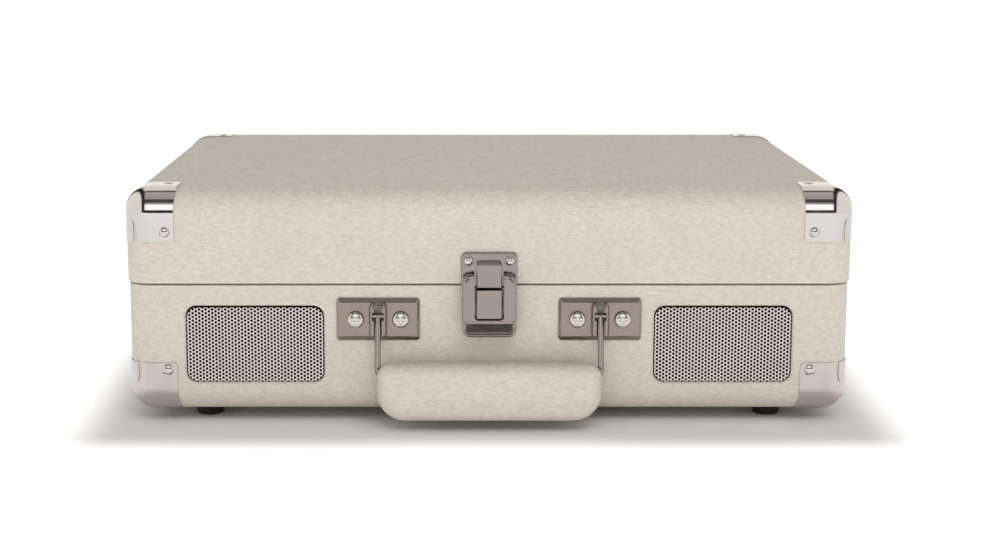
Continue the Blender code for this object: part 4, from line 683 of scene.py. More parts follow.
def rounded_out(points, half, low, high, level):
    """Each point moves to its nearest point of the inner box plus a fixed distance outwards."""
    inner = np.array((half[0] - EDGE, half[1] - EDGE))
    kept = points.copy()
    kept[..., 0] = np.minimum(points[..., 0], inner[0])
    kept[..., 1] = np.maximum(points[..., 1], -inner[1])
    kept[..., 2] = np.minimum(points[..., 2], high - EDGE)
    away = points - kept
    away /= np.maximum(np.linalg.norm(away, axis=-1, keepdims=True), 1e-9)
    return kept + away * (EDGE + level)


def cap_grids(half, drop_to, high, reach, level, flare):
    """Three patches of a front right upper cap: top, front and side, meeting at the sharp edges."""
    inner_x = half[0] - reach
    inner_y = reach - half[1]
    across = np.linspace(0, 1, 25)
    down = np.linspace(0, 1, 25)
    span = 1 - (1 - down) ** 1.6
    height = high + (drop_to - high) * span
    near_end = np.clip((CAP_ROUND - (height - drop_to)) / CAP_ROUND, 0, 1)
    rounding = CAP_ROUND * (1 - np.sqrt(1 - near_end ** 2))
    widening = flare * np.clip(1 - (high - height) / (1.2 * EDGE), 0, 1) ** 2
    slit_length = high - 1.2 * EDGE - drop_to
    slit = np.clip((high - 1.2 * EDGE - height) / slit_length, 0, 1)
    lean = SLIT_LEAN * np.clip(6 * slit, 0, 1)
    first = (inner_x + rounding - widening)[:, None]
    last = (half[0] - lean - SLIT * slit)[:, None]
    front = np.stack(np.broadcast_arrays(
        first + (last - first) * across, -half[1], height[:, None],
    ), -1)
    first = (inner_y - rounding + widening)[:, None]
    last = (-half[1] - lean)[:, None]
    side = np.stack(np.broadcast_arrays(
        half[0], last + (first - last) * across, height[:, None],
    ), -1)
    near_edge_x = inner_x - flare
    near_edge_y = inner_y + flare
    x = near_edge_x + (half[0] - near_edge_x) * across
    y = near_edge_y + (-half[1] - near_edge_y) * across
    rounded = np.clip((CAP_ROUND * 1.5 - (y - near_edge_y) * -1) / (CAP_ROUND * 1.5), 0, 1)
    top_first = near_edge_x + CAP_ROUND * 1.5 * (1 - np.sqrt(1 - rounded ** 2))
    top = np.stack(np.broadcast_arrays(
        top_first[:, None] + (half[0] - top_first[:, None]) * across, y[:, None], high,
    ), -1)
    return [rounded_out(grid, half, drop_to, high, level) for grid in (top, front, side)]


def mirrored(grid, side, end, upside=None):
    """Copy of a grid for another corner; the order of its columns keeps its faces outward."""
    copy = grid * np.array((side, end, 1))
    turned_over = side * end < 0
    if upside is not None:
        copy[..., 2] = upside - copy[..., 2]
        turned_over = not turned_over
    if turned_over:
        copy = copy[:, ::-1]
    copy[..., 1] += CASE_Y
    return copy


def make_cap(node, half, drop_to, high, reach, flare, finish, side, end, upside=None):
    """Sheet metal cap for one corner; the sheet lies just outside the covering."""
    grids = cap_grids(half, drop_to, high, reach, CAP_LEVEL, flare)
    grids = [mirrored(grid, side, end, upside) for grid in grids]
    cap = skin(f"{node}_sheet", grids, finish, close_columns=False, outward=False, angle=50)
    sheet = cap.modifiers.new("sheet", "SOLIDIFY")
    sheet.thickness = CAP_SHEET
    sheet.offset = -1
    soften(cap, 0.2 * MM, 2, 60)
    return place(cap, node)


cap_low, cap_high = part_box("lid_corner_front_right")
base_cap_low, base_cap_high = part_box("base_corner_front_right")
LID_CAP_REACH = lid_half[0] - cap_low[0] + 0.5 * MM
BASE_CAP_REACH = base_half[0] - base_cap_low[0]
TOP_FLARE = 0.8 * MM
CAP_LONGER = 0.8 * MM
SIDES = (("left", -1), ("right", 1))
ENDS = (("front", 1), ("rear", -1))
for end_name, end in ENDS:
    for hand, side in SIDES:
        make_cap(
            f"lid_corner_{end_name}_{hand}", lid_half, cap_low[2] - CAP_LONGER, TOP,
            LID_CAP_REACH, TOP_FLARE, CHROME, side, end,
        )
        make_cap(
            f"base_corner_{end_name}_{hand}", base_half, SEAM - base_cap_high[2] + base_low[2], SEAM,
            BASE_CAP_REACH, TOP_FLARE, CAP_STEEL, side, end, SEAM + base_low[2],
        )
print("caps:", 8)

# %% [markdown]
# ## Grilles
#
# Each grille is steel sheet punched with staggered round holes and painted. Real holes matter here,
# because the dark speaker shows through them. One hexagonal cell with a hole is worked out once and
# repeated; cells that cross the grille's outline are squeezed on to it.

# %% Perforated sheet
HOLE_PITCH = 1.85 * MM
HOLE_RADIUS = 0.69 * MM
HOLE_SIDES = 12
GRILLE_SHEET = 0.6 * MM
GAP_BESIDE = 0.3 * MM
GAP_ABOVE = 0.8 * MM


def hexagon_ring(apothem):
    """Twelve points on a hexagon: its corners and the middles of its sides, by turns."""
    angle = np.arange(HOLE_SIDES) * 2 * math.pi / HOLE_SIDES
    reach = apothem / np.cos(np.where(np.arange(HOLE_SIDES) % 2, math.pi / 6, 0))
    return np.stack([reach * np.sin(angle), reach * np.cos(angle)], -1)


def into_outline(points, half_x, half_z, radius):
    """Points beyond a rounded rectangle move to its edge; the others stay."""
    inner = np.array((half_x - radius, half_z - radius))
    kept = np.clip(points, -inner, inner)
    away = points - kept
    reach = np.linalg.norm(away, axis=-1, keepdims=True)
    return kept + away * np.minimum(1, radius / np.maximum(reach, 1e-9))


def perforated(name, low, high, radius):
    """Sheet of cells, each a strip from a hexagon to its hole, through it and out at the back."""
    half_x, half_z = (high[0] - low[0]) / 2, (high[2] - low[2]) / 2
    column_pitch = HOLE_PITCH * math.sin(math.pi / 3)
    columns = int(half_x / column_pitch) + 1
    rows = int(half_z / HOLE_PITCH) + 2
    column, row = np.meshgrid(
        np.arange(-columns, columns + 1), np.arange(-rows, rows + 1), indexing="ij",
    )
    centres = np.stack([column * column_pitch, (row + (column % 2) / 2) * HOLE_PITCH], -1).reshape(-1, 2)
    outside = np.linalg.norm(centres - into_outline(centres, half_x, half_z, radius), axis=-1)
    centres = centres[outside < 0.25 * HOLE_PITCH]
    hexagon = hexagon_ring(HOLE_PITCH / 2)
    angle = np.arange(HOLE_SIDES) * 2 * math.pi / HOLE_SIDES
    hole = HOLE_RADIUS * np.stack([np.sin(angle), np.cos(angle)], -1)
    rings = np.stack([hexagon, hole, hole, hexagon])
    flat = into_outline(centres[:, None, None] + rings[None], half_x, half_z, radius)
    depth = np.array((0, 0, GRILLE_SHEET, GRILLE_SHEET))[None, :, None]
    middle = ((low[0] + high[0]) / 2, (low[2] + high[2]) / 2)
    x = flat[..., 0] + middle[0]
    z = flat[..., 1] + middle[1]
    y = np.broadcast_to(low[1] + depth, x.shape)
    cells = np.stack([x, y, z], -1)
    strip = grid_faces(4, HOLE_SIDES, False, True)
    faces = (strip[None] + np.arange(len(cells))[:, None, None] * 4 * HOLE_SIDES).reshape(-1, 4)
    mesh = bpy.data.meshes.new(name)
    mesh.from_pydata(cells.reshape(-1, 3).tolist(), [], faces.tolist())
    bm = bmesh.new()
    bm.from_mesh(mesh)
    bmesh.ops.remove_doubles(bm, verts=bm.verts, dist=0.004 * MM)
    bmesh.ops.dissolve_degenerate(bm, edges=bm.edges, dist=0.004 * MM)
    bmesh.ops.recalc_face_normals(bm, faces=bm.faces)
    bm.to_mesh(mesh)
    bm.free()
    return add_piece(name, mesh, GRILLE_METAL, 30), len(centres)


for hand, _ in SIDES:
    low, high = grille_boxes[hand]
    grille, holes = perforated(
        f"grille_sheet_{hand}", (low[0] + GAP_BESIDE, low[1], low[2]),
        (high[0] - GAP_BESIDE, high[1], high[2] - GAP_ABOVE), GRILLE_CORNER,
    )
    place(grille, f"grille_{hand}")
print("holes in a grille:", holes)

# %% [markdown]
# ## Speakers
#
# Behind each grille sits a small paper cone with a rolled surround in a stamped frame.

# %% Speakers
def make_speaker(hand):
    """Turned profile: frame's rim, half-round surround, cone, dust cap; then basket and magnet."""
    low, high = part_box(f"speaker_{hand}")
    centre = ((low[0] + high[0]) / 2, low[1], (low[2] + high[2]) / 2)
    rim = (high[0] - low[0]) / 2
    depth = high[1] - low[1]
    turn = np.linspace(0, math.pi, 7)
    roll = [(rim * (0.82 + 0.07 * math.cos(a)), rim * 0.07 * math.sin(a)) for a in turn]
    cone = [(rim * 0.4, -rim * 0.3)]
    cap = [(rim * 0.32 * math.sin(a), rim * (0.12 * math.cos(a) - 0.36)) for a in np.linspace(1.4, 0, 6)]
    face = [(rim, -1.2 * MM), (rim, -0.4 * MM), (rim * 0.92, -0.4 * MM)] + roll + cone + cap
    face = [(r, h - 1.2 * MM) for r, h in face]
    back = [
        (0, -depth), (rim * 0.5, -depth), (rim * 0.56, -depth + 1 * MM), (rim * 0.56, -depth * 0.6),
        (rim * 0.6, -depth * 0.55), (rim * 0.95, -3 * MM), (rim, -2.4 * MM),
    ]
    speaker = skin(f"speaker_cone_{hand}", [turned(back + face, centre, 40, "Y")], CONE_PAPER)
    return place(speaker, f"speaker_{hand}")


for hand, _ in SIDES:
    make_speaker(hand)

# %% [markdown]
# ## Handle
#
# The bail is one bent wire whose ends turn inwards under a bridge on each plate. The grip is
# leatherette over foam: its outline has small top corners, where the wire goes in, and large
# bottom ones, and its faces are a little crowned.

# %% Bail
grip_low, grip_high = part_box("handle_grip")
plate_low, plate_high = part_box("handle_plate_right")
PLATE_X = (plate_low[0] + plate_high[0]) / 2
WIRE = 1.5 * MM
BEND = 6 * MM
PIN_REACH = 2.8 * MM
PIN_RADIUS = 1.35 * MM
BAIL_SHARE = 0.71  # how high in the grip the wire runs, as a share of the grip's height
pivot_y = FRONT - 3.4 * MM
pivot_z = 55 * MM
grip_y = (grip_low[1] + grip_high[1]) / 2
through_z = grip_low[2] + BAIL_SHARE * (grip_high[2] - grip_low[2])


def bail_route():
    """Straight down and forwards from a pivot, a quarter circle, and its mirror image."""
    leg = np.linspace((PLATE_X, pivot_y, pivot_z), (PLATE_X, grip_y, through_z + BEND), 12)
    angle = np.linspace(0, -math.pi / 2, 13)[1:]
    bend = np.stack([
        PLATE_X - BEND + BEND * np.cos(angle), np.full(12, grip_y),
        through_z + BEND + BEND * np.sin(angle),
    ], -1)
    half = np.concatenate([leg, bend])
    return np.concatenate([half * (-1, 1, 1), half[::-1]])


bail_grids = [tube(bail_route(), WIRE, 20)]
for _, side in SIDES:
    ends = [(side * PLATE_X + way * PIN_REACH, pivot_y, pivot_z) for way in (-1, 1)]
    bail_grids.append(tube(np.linspace(*ends, 4), PIN_RADIUS, 16))
place(skin("bail_wire", bail_grids, LATCH_METAL), "handle_bail")

# %% Grip
GRIP_TOP_CORNER = 6 * MM
GRIP_BOTTOM_CORNER = 16 * MM
GRIP_EDGE = 6.5 * MM
GRIP_CROWN = 1.2 * MM


def grip_outline(half_x, half_z, inset):
    """Rounded outline whose two upper corners are tighter than its two lower ones."""
    corners = (GRIP_TOP_CORNER, GRIP_TOP_CORNER, GRIP_BOTTOM_CORNER, GRIP_BOTTOM_CORNER)
    radii = [min(max(r - inset, 0), half_z - inset) for r in corners]
    turn = np.linspace(0, math.pi / 2, 11)
    loops = []
    for quarter, (radius, sx, sz) in enumerate(zip(radii, (1, -1, -1, 1), (1, 1, -1, -1))):
        x = sx * max(half_x - inset - radius, 0)
        z = sz * max(half_z - inset - radius, 0)
        angle = turn + quarter * math.pi / 2
        loops.append(np.stack([x + radius * np.cos(angle), z + radius * np.sin(angle)], -1))
    return np.concatenate(loops)


def make_grip():
    """Outline carried over a crowned front, a round edge, and the same again behind."""
    half_x, half_z = (grip_high[0] - grip_low[0]) / 2, (grip_high[2] - grip_low[2]) / 2
    half_y = (grip_high[1] - grip_low[1]) / 2
    shoulder = half_y - GRIP_CROWN
    edge = [(GRIP_EDGE - x, y) for x, y in arc(0, shoulder - GRIP_EDGE, GRIP_EDGE, 90, 0, 8)]
    face = [
        (half_z, half_y), (half_z * 0.8, half_y - 0.1 * GRIP_CROWN),
        (half_z * 0.62, half_y - 0.5 * GRIP_CROWN),
    ]
    front = face + edge
    profile = front + [(inset, -y) for inset, y in reversed(front)]
    centre_z = (grip_low[2] + grip_high[2]) / 2
    rows = [grip_outline(half_x, half_z, inset) for inset, _ in profile]
    flat = np.stack(rows)
    across = np.array([grip_y - y for _, y in profile])[:, None]
    grid = np.stack([
        flat[..., 0], np.broadcast_to(across, flat.shape[:2]), flat[..., 1] + centre_z,
    ], -1)
    return place(skin("grip_padding", [grid], COVERING), "handle_grip")


make_grip()

# %% [markdown]
# ## Feet and rivets
#
# The feet are moulded rubber with a hollow for their screw. Rivets are small domes with a thin
# rolled edge, and one mesh holds all the rivets on a body.

# %% Feet
def make_foot(node):
    """Turned profile: wide top, tapered side, rounded tread, hollow round the fixing screw."""
    low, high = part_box(node)
    centre = ((low[0] + high[0]) / 2, (low[1] + high[1]) / 2, 0)
    top = (high[0] - low[0]) / 2
    bottom = top - 1 * MM
    side = arc(bottom - 1 * MM, 1 * MM, 1 * MM, 0, -90, 4)
    profile = [(0, high[2]), (top - 0.5 * MM, high[2]), (top, high[2] - 0.5 * MM)] + side
    profile += [(3.6 * MM, 0), (3.2 * MM, 0.4 * MM), (3.2 * MM, 3 * MM), (0, 3 * MM)]
    return place(skin(f"{node}_rubber", [turned(profile, centre, 40)], RUBBER), node)


for end_name, _ in ENDS:
    for hand, _ in SIDES:
        make_foot(f"foot_{end_name}_{hand}")


# %% Rivets
def rivet(centre, radius, height, axis, outward):
    """Dome on a thin rolled rim: (radius, height) pairs turned about the face's normal."""
    turn = np.linspace(0, math.pi / 2, 7)
    dome = [(radius * 0.86 * math.cos(a), 0.25 * height + 0.75 * height * math.sin(a)) for a in turn]
    profile = [(radius, -0.3 * MM), (radius, 0.12 * height), (radius * 0.93, 0.3 * height)] + dome
    grid = turned(profile, (0, 0, 0), 28, axis)
    if axis == "Y":
        grid = grid * (1, outward * -1, 1)
    else:
        grid = grid * ((outward, 1, 1) if axis == "X" else (1, 1, outward))
    return grid + np.array(centre)


LID_RIVET = 2.65 * MM
BASE_RIVET = 2.95 * MM
RIVET_HEIGHT = 1.1 * MM
RIVET_X = 157.7 * MM
LID_RIVET_Z = 96 * MM
BASE_RIVET_Z = 27.5 * MM
PROUD = CAP_LEVEL
lid_rivets = []
base_rivets = []
for _, end in ENDS:
    face = CASE_Y - end * (lid_half[1] + PROUD)
    low_face = CASE_Y - end * (base_half[1] + PROUD)
    inwards = lid_half[0] - RIVET_X
    for _, side in SIDES:
        lid_rivets.append(rivet(
            (side * RIVET_X, face, LID_RIVET_Z), LID_RIVET, RIVET_HEIGHT, "Y", -end,
        ))
        lid_rivets.append(rivet(
            (side * (lid_half[0] + PROUD), CASE_Y - end * (lid_half[1] - inwards), LID_RIVET_Z),
            LID_RIVET, RIVET_HEIGHT, "X", side,
        ))
        lid_rivets.append(rivet(
            (side * RIVET_X, CASE_Y - end * (lid_half[1] - inwards), TOP + PROUD),
            LID_RIVET, RIVET_HEIGHT / 2, "Z", 1,
        ))
        base_rivets.append(rivet(
            (side * RIVET_X, low_face, BASE_RIVET_Z), BASE_RIVET, RIVET_HEIGHT, "Y", -end,
        ))
        base_rivets.append(rivet(
            (side * (base_half[0] + PROUD), CASE_Y - end * (base_half[1] - inwards), BASE_RIVET_Z),
            BASE_RIVET, RIVET_HEIGHT, "X", side,
        ))
place(skin("lid_cap_rivets", lid_rivets, CHROME), "lid_corner_front_left", replaces=False)
place(skin("base_cap_rivets", base_rivets, CHROME), "base_corner_front_left", replaces=False)
print("rivets:", len(lid_rivets) + len(base_rivets))

# %% [markdown]
# ## Pressed fittings
#
# The handle plates and the latch are pressed from sheet. Each is a height over an outline: the
# outline is a rectangle with one radius for its lower corners and one for its upper corners, and
# the height depends on how far inside the outline a point lies.

# %% Height over an outline
def edge_distance(x, z, half_x, low, high, radii):
    """How far a point lies inside a rectangle whose lower and upper corners have two radii."""
    radius = np.where(z < (low + high) / 2, radii[0], radii[1])
    beyond_x = np.abs(x) - (half_x - radius)
    beyond_z = np.maximum(low + radius - z, z - (high - radius))
    corner = np.hypot(np.maximum(beyond_x, 0), np.maximum(beyond_z, 0))
    return radius - corner - np.minimum(np.maximum(beyond_x, beyond_z), 0)


def rolled(inset, radius):
    """Drop of a rounded edge: a quarter circle that starts upright at the outline."""
    near = 1 - np.clip(inset / radius, 0, 1)
    return radius * (1 - np.sqrt(1 - near ** 2))


def ramp(value, start, end):
    """0 before the start, 1 after the end, straight between them."""
    return np.clip((value - start) / (end - start), 0, 1)


def pressed(name, x_middle, half_x, low, high, radii, face, back, finish, steps=64, kinks=()):
    """Closed sheet; face and back give the reach towards the front at (x, z, inset)."""
    spread = (1 - np.cos(np.linspace(0, math.pi, steps))) / 2
    height = np.unique(np.concatenate([low + (high - low) * spread, kinks]))
    radius = np.where(height < (low + high) / 2, radii[0], radii[1])
    into = np.clip(radius - np.minimum(height - low, high - height), 0, radius)
    width = half_x - radius + np.sqrt(radius ** 2 - into ** 2)
    z = np.broadcast_to(height[:, None], (len(height), steps))
    x = width[:, None] * (2 * spread - 1)[None]
    inset = edge_distance(x, z, half_x, low, high, radii)
    sides = []
    for reach, order in ((face, slice(None)), (back, slice(None, None, -1))):
        y = FRONT - np.broadcast_to(reach(x, z, inset), x.shape)
        sides.append(np.stack([x_middle + x, y, z], -1)[:, order])
    loops = np.concatenate(sides, 1)
    flat_back = np.concatenate([sides[1][:, ::-1], sides[1]], 1)
    return skin(name, [np.concatenate([flat_back[:1], loops, flat_back[-1:]])], finish)


def box_tool(low, high):
    """Plain box between two corners, used as a cutter."""
    x, y, z = zip(low, high)
    ring = [(x[0], y[0]), (x[1], y[0]), (x[1], y[1]), (x[0], y[1])]
    middle = [(sum(x) / 2, sum(y) / 2)] * 4
    rows = [(middle, z[0]), (ring, z[0]), (ring, z[1]), (middle, z[1])]
    return skin("tool", [np.array([[(*p, height) for p in loop] for loop, height in rows])], None)


# %% Handle plates
PLATE_BORDER = 1.9 * MM
PLATE_HALF = (20.3 * MM, 10.5 * MM)
BRIDGE_FACE = 6 * MM
BRIDGE_HALF = 4.3 * MM
BRIDGE_BELOW = 8.9 * MM
BRIDGE_ABOVE = 8.7 * MM
PLATE_CUTS = (  # half width, reach and start from the case's front, low and high end
    (3.2 * MM, 5.1 * MM, -MM, 45.5 * MM, 60.6 * MM),  # hollow under the bridge
    (1.95 * MM, 9 * MM, 2.6 * MM, 40 * MM, 60.2 * MM),  # slot that the wire swings in
    (2.9 * MM, 9 * MM, 2.6 * MM, 53 * MM, 57 * MM),  # wider opening for its pin
)


def plate_reach(x, z, inset):
    """Border that slopes up, then a shallow step down to the flat face."""
    slope = 0.5 * MM + 1.6 * MM * ramp(inset, 0, PLATE_BORDER)
    return SKIN_GAP + slope - 0.4 * MM * ramp(inset, PLATE_BORDER, PLATE_BORDER + 0.25 * MM)


def bridge_reach(x, z, inset):
    """Bridge with a broad round edge."""
    return BRIDGE_FACE - rolled(inset, 2.2 * MM)


def sunk(x, z, inset):
    """Back of a part that is joined into a plate."""
    return 0.9 * MM + 0 * x


def on_cloth(x, z, inset):
    """Back of a plate that lies on the covering."""
    return SKIN_GAP + 0 * x


SKIN_GAP = 0.3 * MM
plate_z = (plate_low[2] + plate_high[2]) / 2
for hand, side in SIDES:
    x = side * PLATE_X
    plate = pressed(
        f"handle_plate_{hand}_pressing", x, PLATE_HALF[0], plate_z - PLATE_HALF[1], plate_z + PLATE_HALF[1],
        (1.8 * MM, 1.8 * MM), plate_reach, on_cloth, NICKEL,
    )
    bridge = pressed(
        "bridge", x, BRIDGE_HALF, plate_z - BRIDGE_BELOW, plate_z + BRIDGE_ABOVE, (2 * MM, 3.2 * MM),
        bridge_reach, sunk, NICKEL,
    )
    combine(plate, [bridge], "UNION", 30)
    combine(plate, [
        box_tool((x - half, FRONT - reach, low), (x + half, FRONT - start, high))
        for half, reach, start, low, high in PLATE_CUTS
    ], angle=30)
    soften(plate, 0.15 * MM, 2, 50)
    place(plate, f"handle_plate_{hand}")

# %% Screws
SCREW = 4 * MM
SCREW_HEIGHT = 1.75 * MM
SCREW_RIM = 0.3 * MM
CROSS_DEPTH = 1.4 * MM
CROSS_HALF = (2.1 * MM, 0.55 * MM)
for hand, _ in SIDES:
    for number in (1, 2):
        low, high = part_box(f"handle_screw_{hand}_{number}")
        centre = ((low[0] + high[0]) / 2, high[1] - SCREW_RIM, (low[2] + high[2]) / 2)
        turns = np.linspace(0, math.pi / 2, 9)
        dome = [
            (SCREW * math.cos(a) ** 0.8, SCREW_RIM + (SCREW_HEIGHT - SCREW_RIM) * math.sin(a))
            for a in turns[:-1]
        ]
        screw = skin(f"handle_screw_{hand}_{number}_head", [turned(
            [(0, 0), (SCREW, 0)] + dome + [(0, SCREW_HEIGHT)], centre, 32, "Y",
        )], SCREW_STEEL)
        tools = []
        for across, up in (CROSS_HALF, CROSS_HALF[::-1]):
            tools.append(box_tool(
                (centre[0] - across, centre[1] - 3 * MM, centre[2] - up),
                (centre[0] + across, centre[1] - SCREW_HEIGHT + CROSS_DEPTH, centre[2] + up),
            ))
        combine(screw, tools, angle=50)
        place(screw, f"handle_screw_{hand}_{number}")

# %% [markdown]
# ## Draw latch
#
# A strike plate with its catch is riveted to the lid. Below, a lever straddles a tongue that comes
# off the base plate. The lever's end is kicked outwards for a fingertip, with a hollow in it.

# %% Latch
strike_low, strike_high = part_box("latch_strike")
lever_low, lever_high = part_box("latch_lever")
CATCH_HALF = 6.2 * MM
TONGUE_FACE = 7.2 * MM
LEVER_FACE = 8.4 * MM
LEVER_SHEET = 1.5 * MM
LEVER_KICK = 2.2 * MM
WINDOW_LOW = 53.6 * MM
KNEE = 53.2 * MM
HOLLOW = (46.9 * MM, 52.7 * MM)
HOLLOW_SLOPE = 0.13
ROLL_WIDTH = 1.7  # how much wider than deep the lever's rolled edge is
CATCH_LOW = 69.4 * MM
CATCH_HIGH = 81.4 * MM
STRIKE_RIVET = (10.1 * MM, 82 * MM)  # sideways and up


def strike_reach(x, z, inset):
    """Thin plate with a rolled edge, standing on the lid."""
    return 2.1 * MM - rolled(inset, 0.9 * MM)


def tongue_reach(x, z, inset):
    """Tongue with a tight round edge."""
    return TONGUE_FACE - rolled(inset, 0.8 * MM)


def lever_kick(z):
    """How much further out the lever's end stands."""
    return LEVER_KICK * ramp(KNEE - z, 0, KNEE - lever_low[2] - 1 * MM)


def lever_reach(x, z, inset):
    """Rolled edge all round; a hollow, less steep than the kicked end, is scooped into it."""
    hollow = ramp(inset, 1.3 * MM, 1.7 * MM) * ramp(HOLLOW[1] - z, 0, 0.3 * MM)
    scoop = lever_kick(z) - HOLLOW_SLOPE * np.maximum(HOLLOW[1] - z, 0)
    return LEVER_FACE + lever_kick(z) - rolled(inset / ROLL_WIDTH, 1.3 * MM) - hollow * scoop


def lever_back(x, z, inset):
    """Inner face, one sheet behind the outer one."""
    return LEVER_FACE - LEVER_SHEET + lever_kick(z)


strike = pressed(
    "latch_strike_plate", 0, 13.7 * MM, strike_low[2], strike_high[2], (1 * MM, 2.6 * MM), strike_reach,
    lambda x, z, inset: 0.9 * MM + 0 * x, LATCH_METAL,
)
combine(strike, [box_tool((-5.1 * MM, FRONT - 4 * MM, 81.9 * MM), (5.1 * MM, FRONT - 1.2 * MM, 83.1 * MM))])
place(strike, "latch_strike")
catch = pressed(
    "latch_catch", 0, CATCH_HALF, CATCH_LOW, CATCH_HIGH, (0.3 * MM, 1.2 * MM), tongue_reach,
    lambda x, z, inset: 1.2 * MM + 0 * x, LATCH_METAL, 40,
)
place(catch, "latch_strike")
place(skin("latch_rivets", [
    rivet((side * STRIKE_RIVET[0], FRONT - 2.1 * MM, STRIKE_RIVET[1]), 2.55 * MM, 1.7 * MM, "Y", -1)
    for _, side in SIDES
], CHROME), "latch_strike", replaces=False)
lever = pressed(
    "latch_lever_pressing", 0, 13.1 * MM, lever_low[2], lever_high[2], (3.8 * MM, 5.2 * MM), lever_reach,
    lever_back, LATCH_METAL, 90, [KNEE, HOLLOW[1], HOLLOW[1] - 0.3 * MM],
)
window = pressed(
    "window", 0, 7.2 * MM, WINDOW_LOW, 90 * MM, (2 * MM, 1 * MM), lambda x, z, inset: 14 * MM + 0 * x,
    lambda x, z, inset: 2 * MM + 0 * x, None,
)
combine(lever, [window])
soften(lever, 0.2 * MM, 2, 50)
place(lever, "latch_lever")
CHEEK = 1.9 * MM
CHEEK_X = (11.7 * MM, 12.8 * MM)
CHEEK_TOP = 73.4 * MM
CHEEK_LOW = 58.6 * MM
LATCH_PIN_X = (8.2 * MM, 12.6 * MM)
LATCH_PIN_Z = 74.2 * MM
LATCH_PIN_OUT = 4.6 * MM
cheek_y = FRONT - 5.6 * MM
lever_fittings = []
for _, side in SIDES:
    x_range = sorted(side * x for x in CHEEK_X)
    turn = np.linspace(0, math.pi, 13)
    outline = [(cheek_y - CHEEK * math.cos(a), CHEEK_TOP + CHEEK * math.sin(a)) for a in turn]
    outline += [(cheek_y + CHEEK, CHEEK_LOW), (cheek_y - CHEEK, CHEEK_LOW)]
    middle = [(cheek_y, (CHEEK_LOW + CHEEK_TOP) / 2)] * len(outline)
    rows = [(x_range[0], middle), (x_range[0], outline), (x_range[1], outline), (x_range[1], middle)]
    lever_fittings.append(np.array([[(x, y, z) for y, z in loop] for x, loop in rows]))
place(skin("latch_lever_cheeks", lever_fittings, LATCH_METAL), "latch_lever", replaces=False)
pins = []
for _, side in SIDES:
    ends = [(side * x, FRONT - LATCH_PIN_OUT, LATCH_PIN_Z) for x in LATCH_PIN_X]
    pins.append(tube(np.linspace(*ends, 4), 1 * MM))
place(skin("latch_lever_pins", pins, STEEL), "latch_lever", replaces=False)
# %% [markdown]
# ## Turntable and controls
#
# Under the lid lie the felt mat on its aluminium platter and the knob for volume. The mat was
# pressed in a ribbed die, so its face carries fine rings. The knob is a cylinder whose radius
# swings a little with the angle: that fluting is what a fingertip grips.

# %% Mat, platter and knob
MAT_RINGS = 40
RING_DEPTH = 0.16 * MM
mat_low, mat_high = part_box("slip_mat")
knob_low, knob_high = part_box("volume_knob")
disc_centre = ((mat_low[0] + mat_high[0]) / 2, (mat_low[1] + mat_high[1]) / 2, 0)
mat_radius = (mat_high[0] - mat_low[0]) / 2
MAT_HOLE = 9 * MM
reach = np.linspace(mat_radius - 4 * MM, MAT_HOLE + 6 * MM, 6 * MAT_RINGS)
swing = RING_DEPTH * (0.5 - 0.5 * np.cos(np.linspace(0, 2 * math.pi * MAT_RINGS, 6 * MAT_RINGS)))
mat_profile = [(mat_radius - 0.5 * MM, mat_low[2]), (mat_radius, mat_low[2] + 0.5 * MM)]
mat_profile += arc(mat_radius - 0.5 * MM, mat_high[2] - 0.5 * MM, 0.5 * MM, 0, 90, 4)
mat_profile += list(zip(reach, mat_high[2] - swing))
mat_profile += [
    (MAT_HOLE + 0.3 * MM, mat_high[2]), (MAT_HOLE, mat_high[2] - 0.3 * MM), (MAT_HOLE, mat_low[2]),
]
mat = skin("ringed_mat", [turned(mat_profile, disc_centre, 120)], FELT, close_rows=True)
place(mat, "slip_mat")


def fluted(centre, radius, low, high, flutes, depth):
    """Knob: rows from the skirt to a dished top; its side is fluted, its top edge round."""
    rows = [(0, low, 0), (radius, low, 1), (radius, high - 1.2 * MM, 1)]
    rows += [(r, h, 1) for r, h in arc(radius - 1.2 * MM, high - 1.2 * MM, 1.2 * MM, 20, 90, 4)]
    rows += [(radius - 2 * MM, high, 0), (radius - 2.5 * MM, high - 0.4 * MM, 0), (0, high - 0.4 * MM, 0)]
    angle = np.linspace(0, 2 * math.pi, flutes * 8, endpoint=False)
    loops = []
    for r, height, share in rows:
        ripple = r - share * depth * (0.5 + 0.5 * np.cos(flutes * angle)) if r else 0 * angle
        loops.append(np.stack([ripple * np.cos(angle), ripple * np.sin(angle), height + 0 * angle], -1))
    return np.stack(loops) + np.array((*centre, 0))


knob_centre = ((knob_low[0] + knob_high[0]) / 2, (knob_low[1] + knob_high[1]) / 2)
deck_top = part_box("deck_plate")[1][2]
KNOB = (knob_high[0] - knob_low[0]) / 2
KNOB_SHAFT = 3 * MM
knob_grid = fluted(knob_centre, KNOB, deck_top + 0.35 * MM, knob_high[2], 24, 0.5 * MM)
place(skin("fluted_knob", [knob_grid], GLOSS_ABS, angle=50), "volume_knob")
shaft_profile = [
    (0, knob_low[2]), (KNOB_SHAFT, knob_low[2]), (KNOB_SHAFT, deck_top + MM), (0, deck_top + MM),
]
shaft = skin("knob_shaft", [turned(shaft_profile, (*knob_centre, 0), 24)], STEEL)
place(shaft, "volume_knob", replaces=False)


# %% [markdown]
# Markings are pad-printed ink: here they are thin pads of it, since they carry no letters. A
# pointer lies on the knob, and dots round it grow with the volume.

# %% Printed marks and small screws
def pad(centre, half, height=0.06 * MM):
    """Thin rounded pad lying on a level face."""
    corner = 0.9 * min(half)
    profile = [(min(half), 0), (0, 0), (0, height * 0.6), (height, height), (min(half), height)]
    return carried(profile, *half, corner, centre, 4)


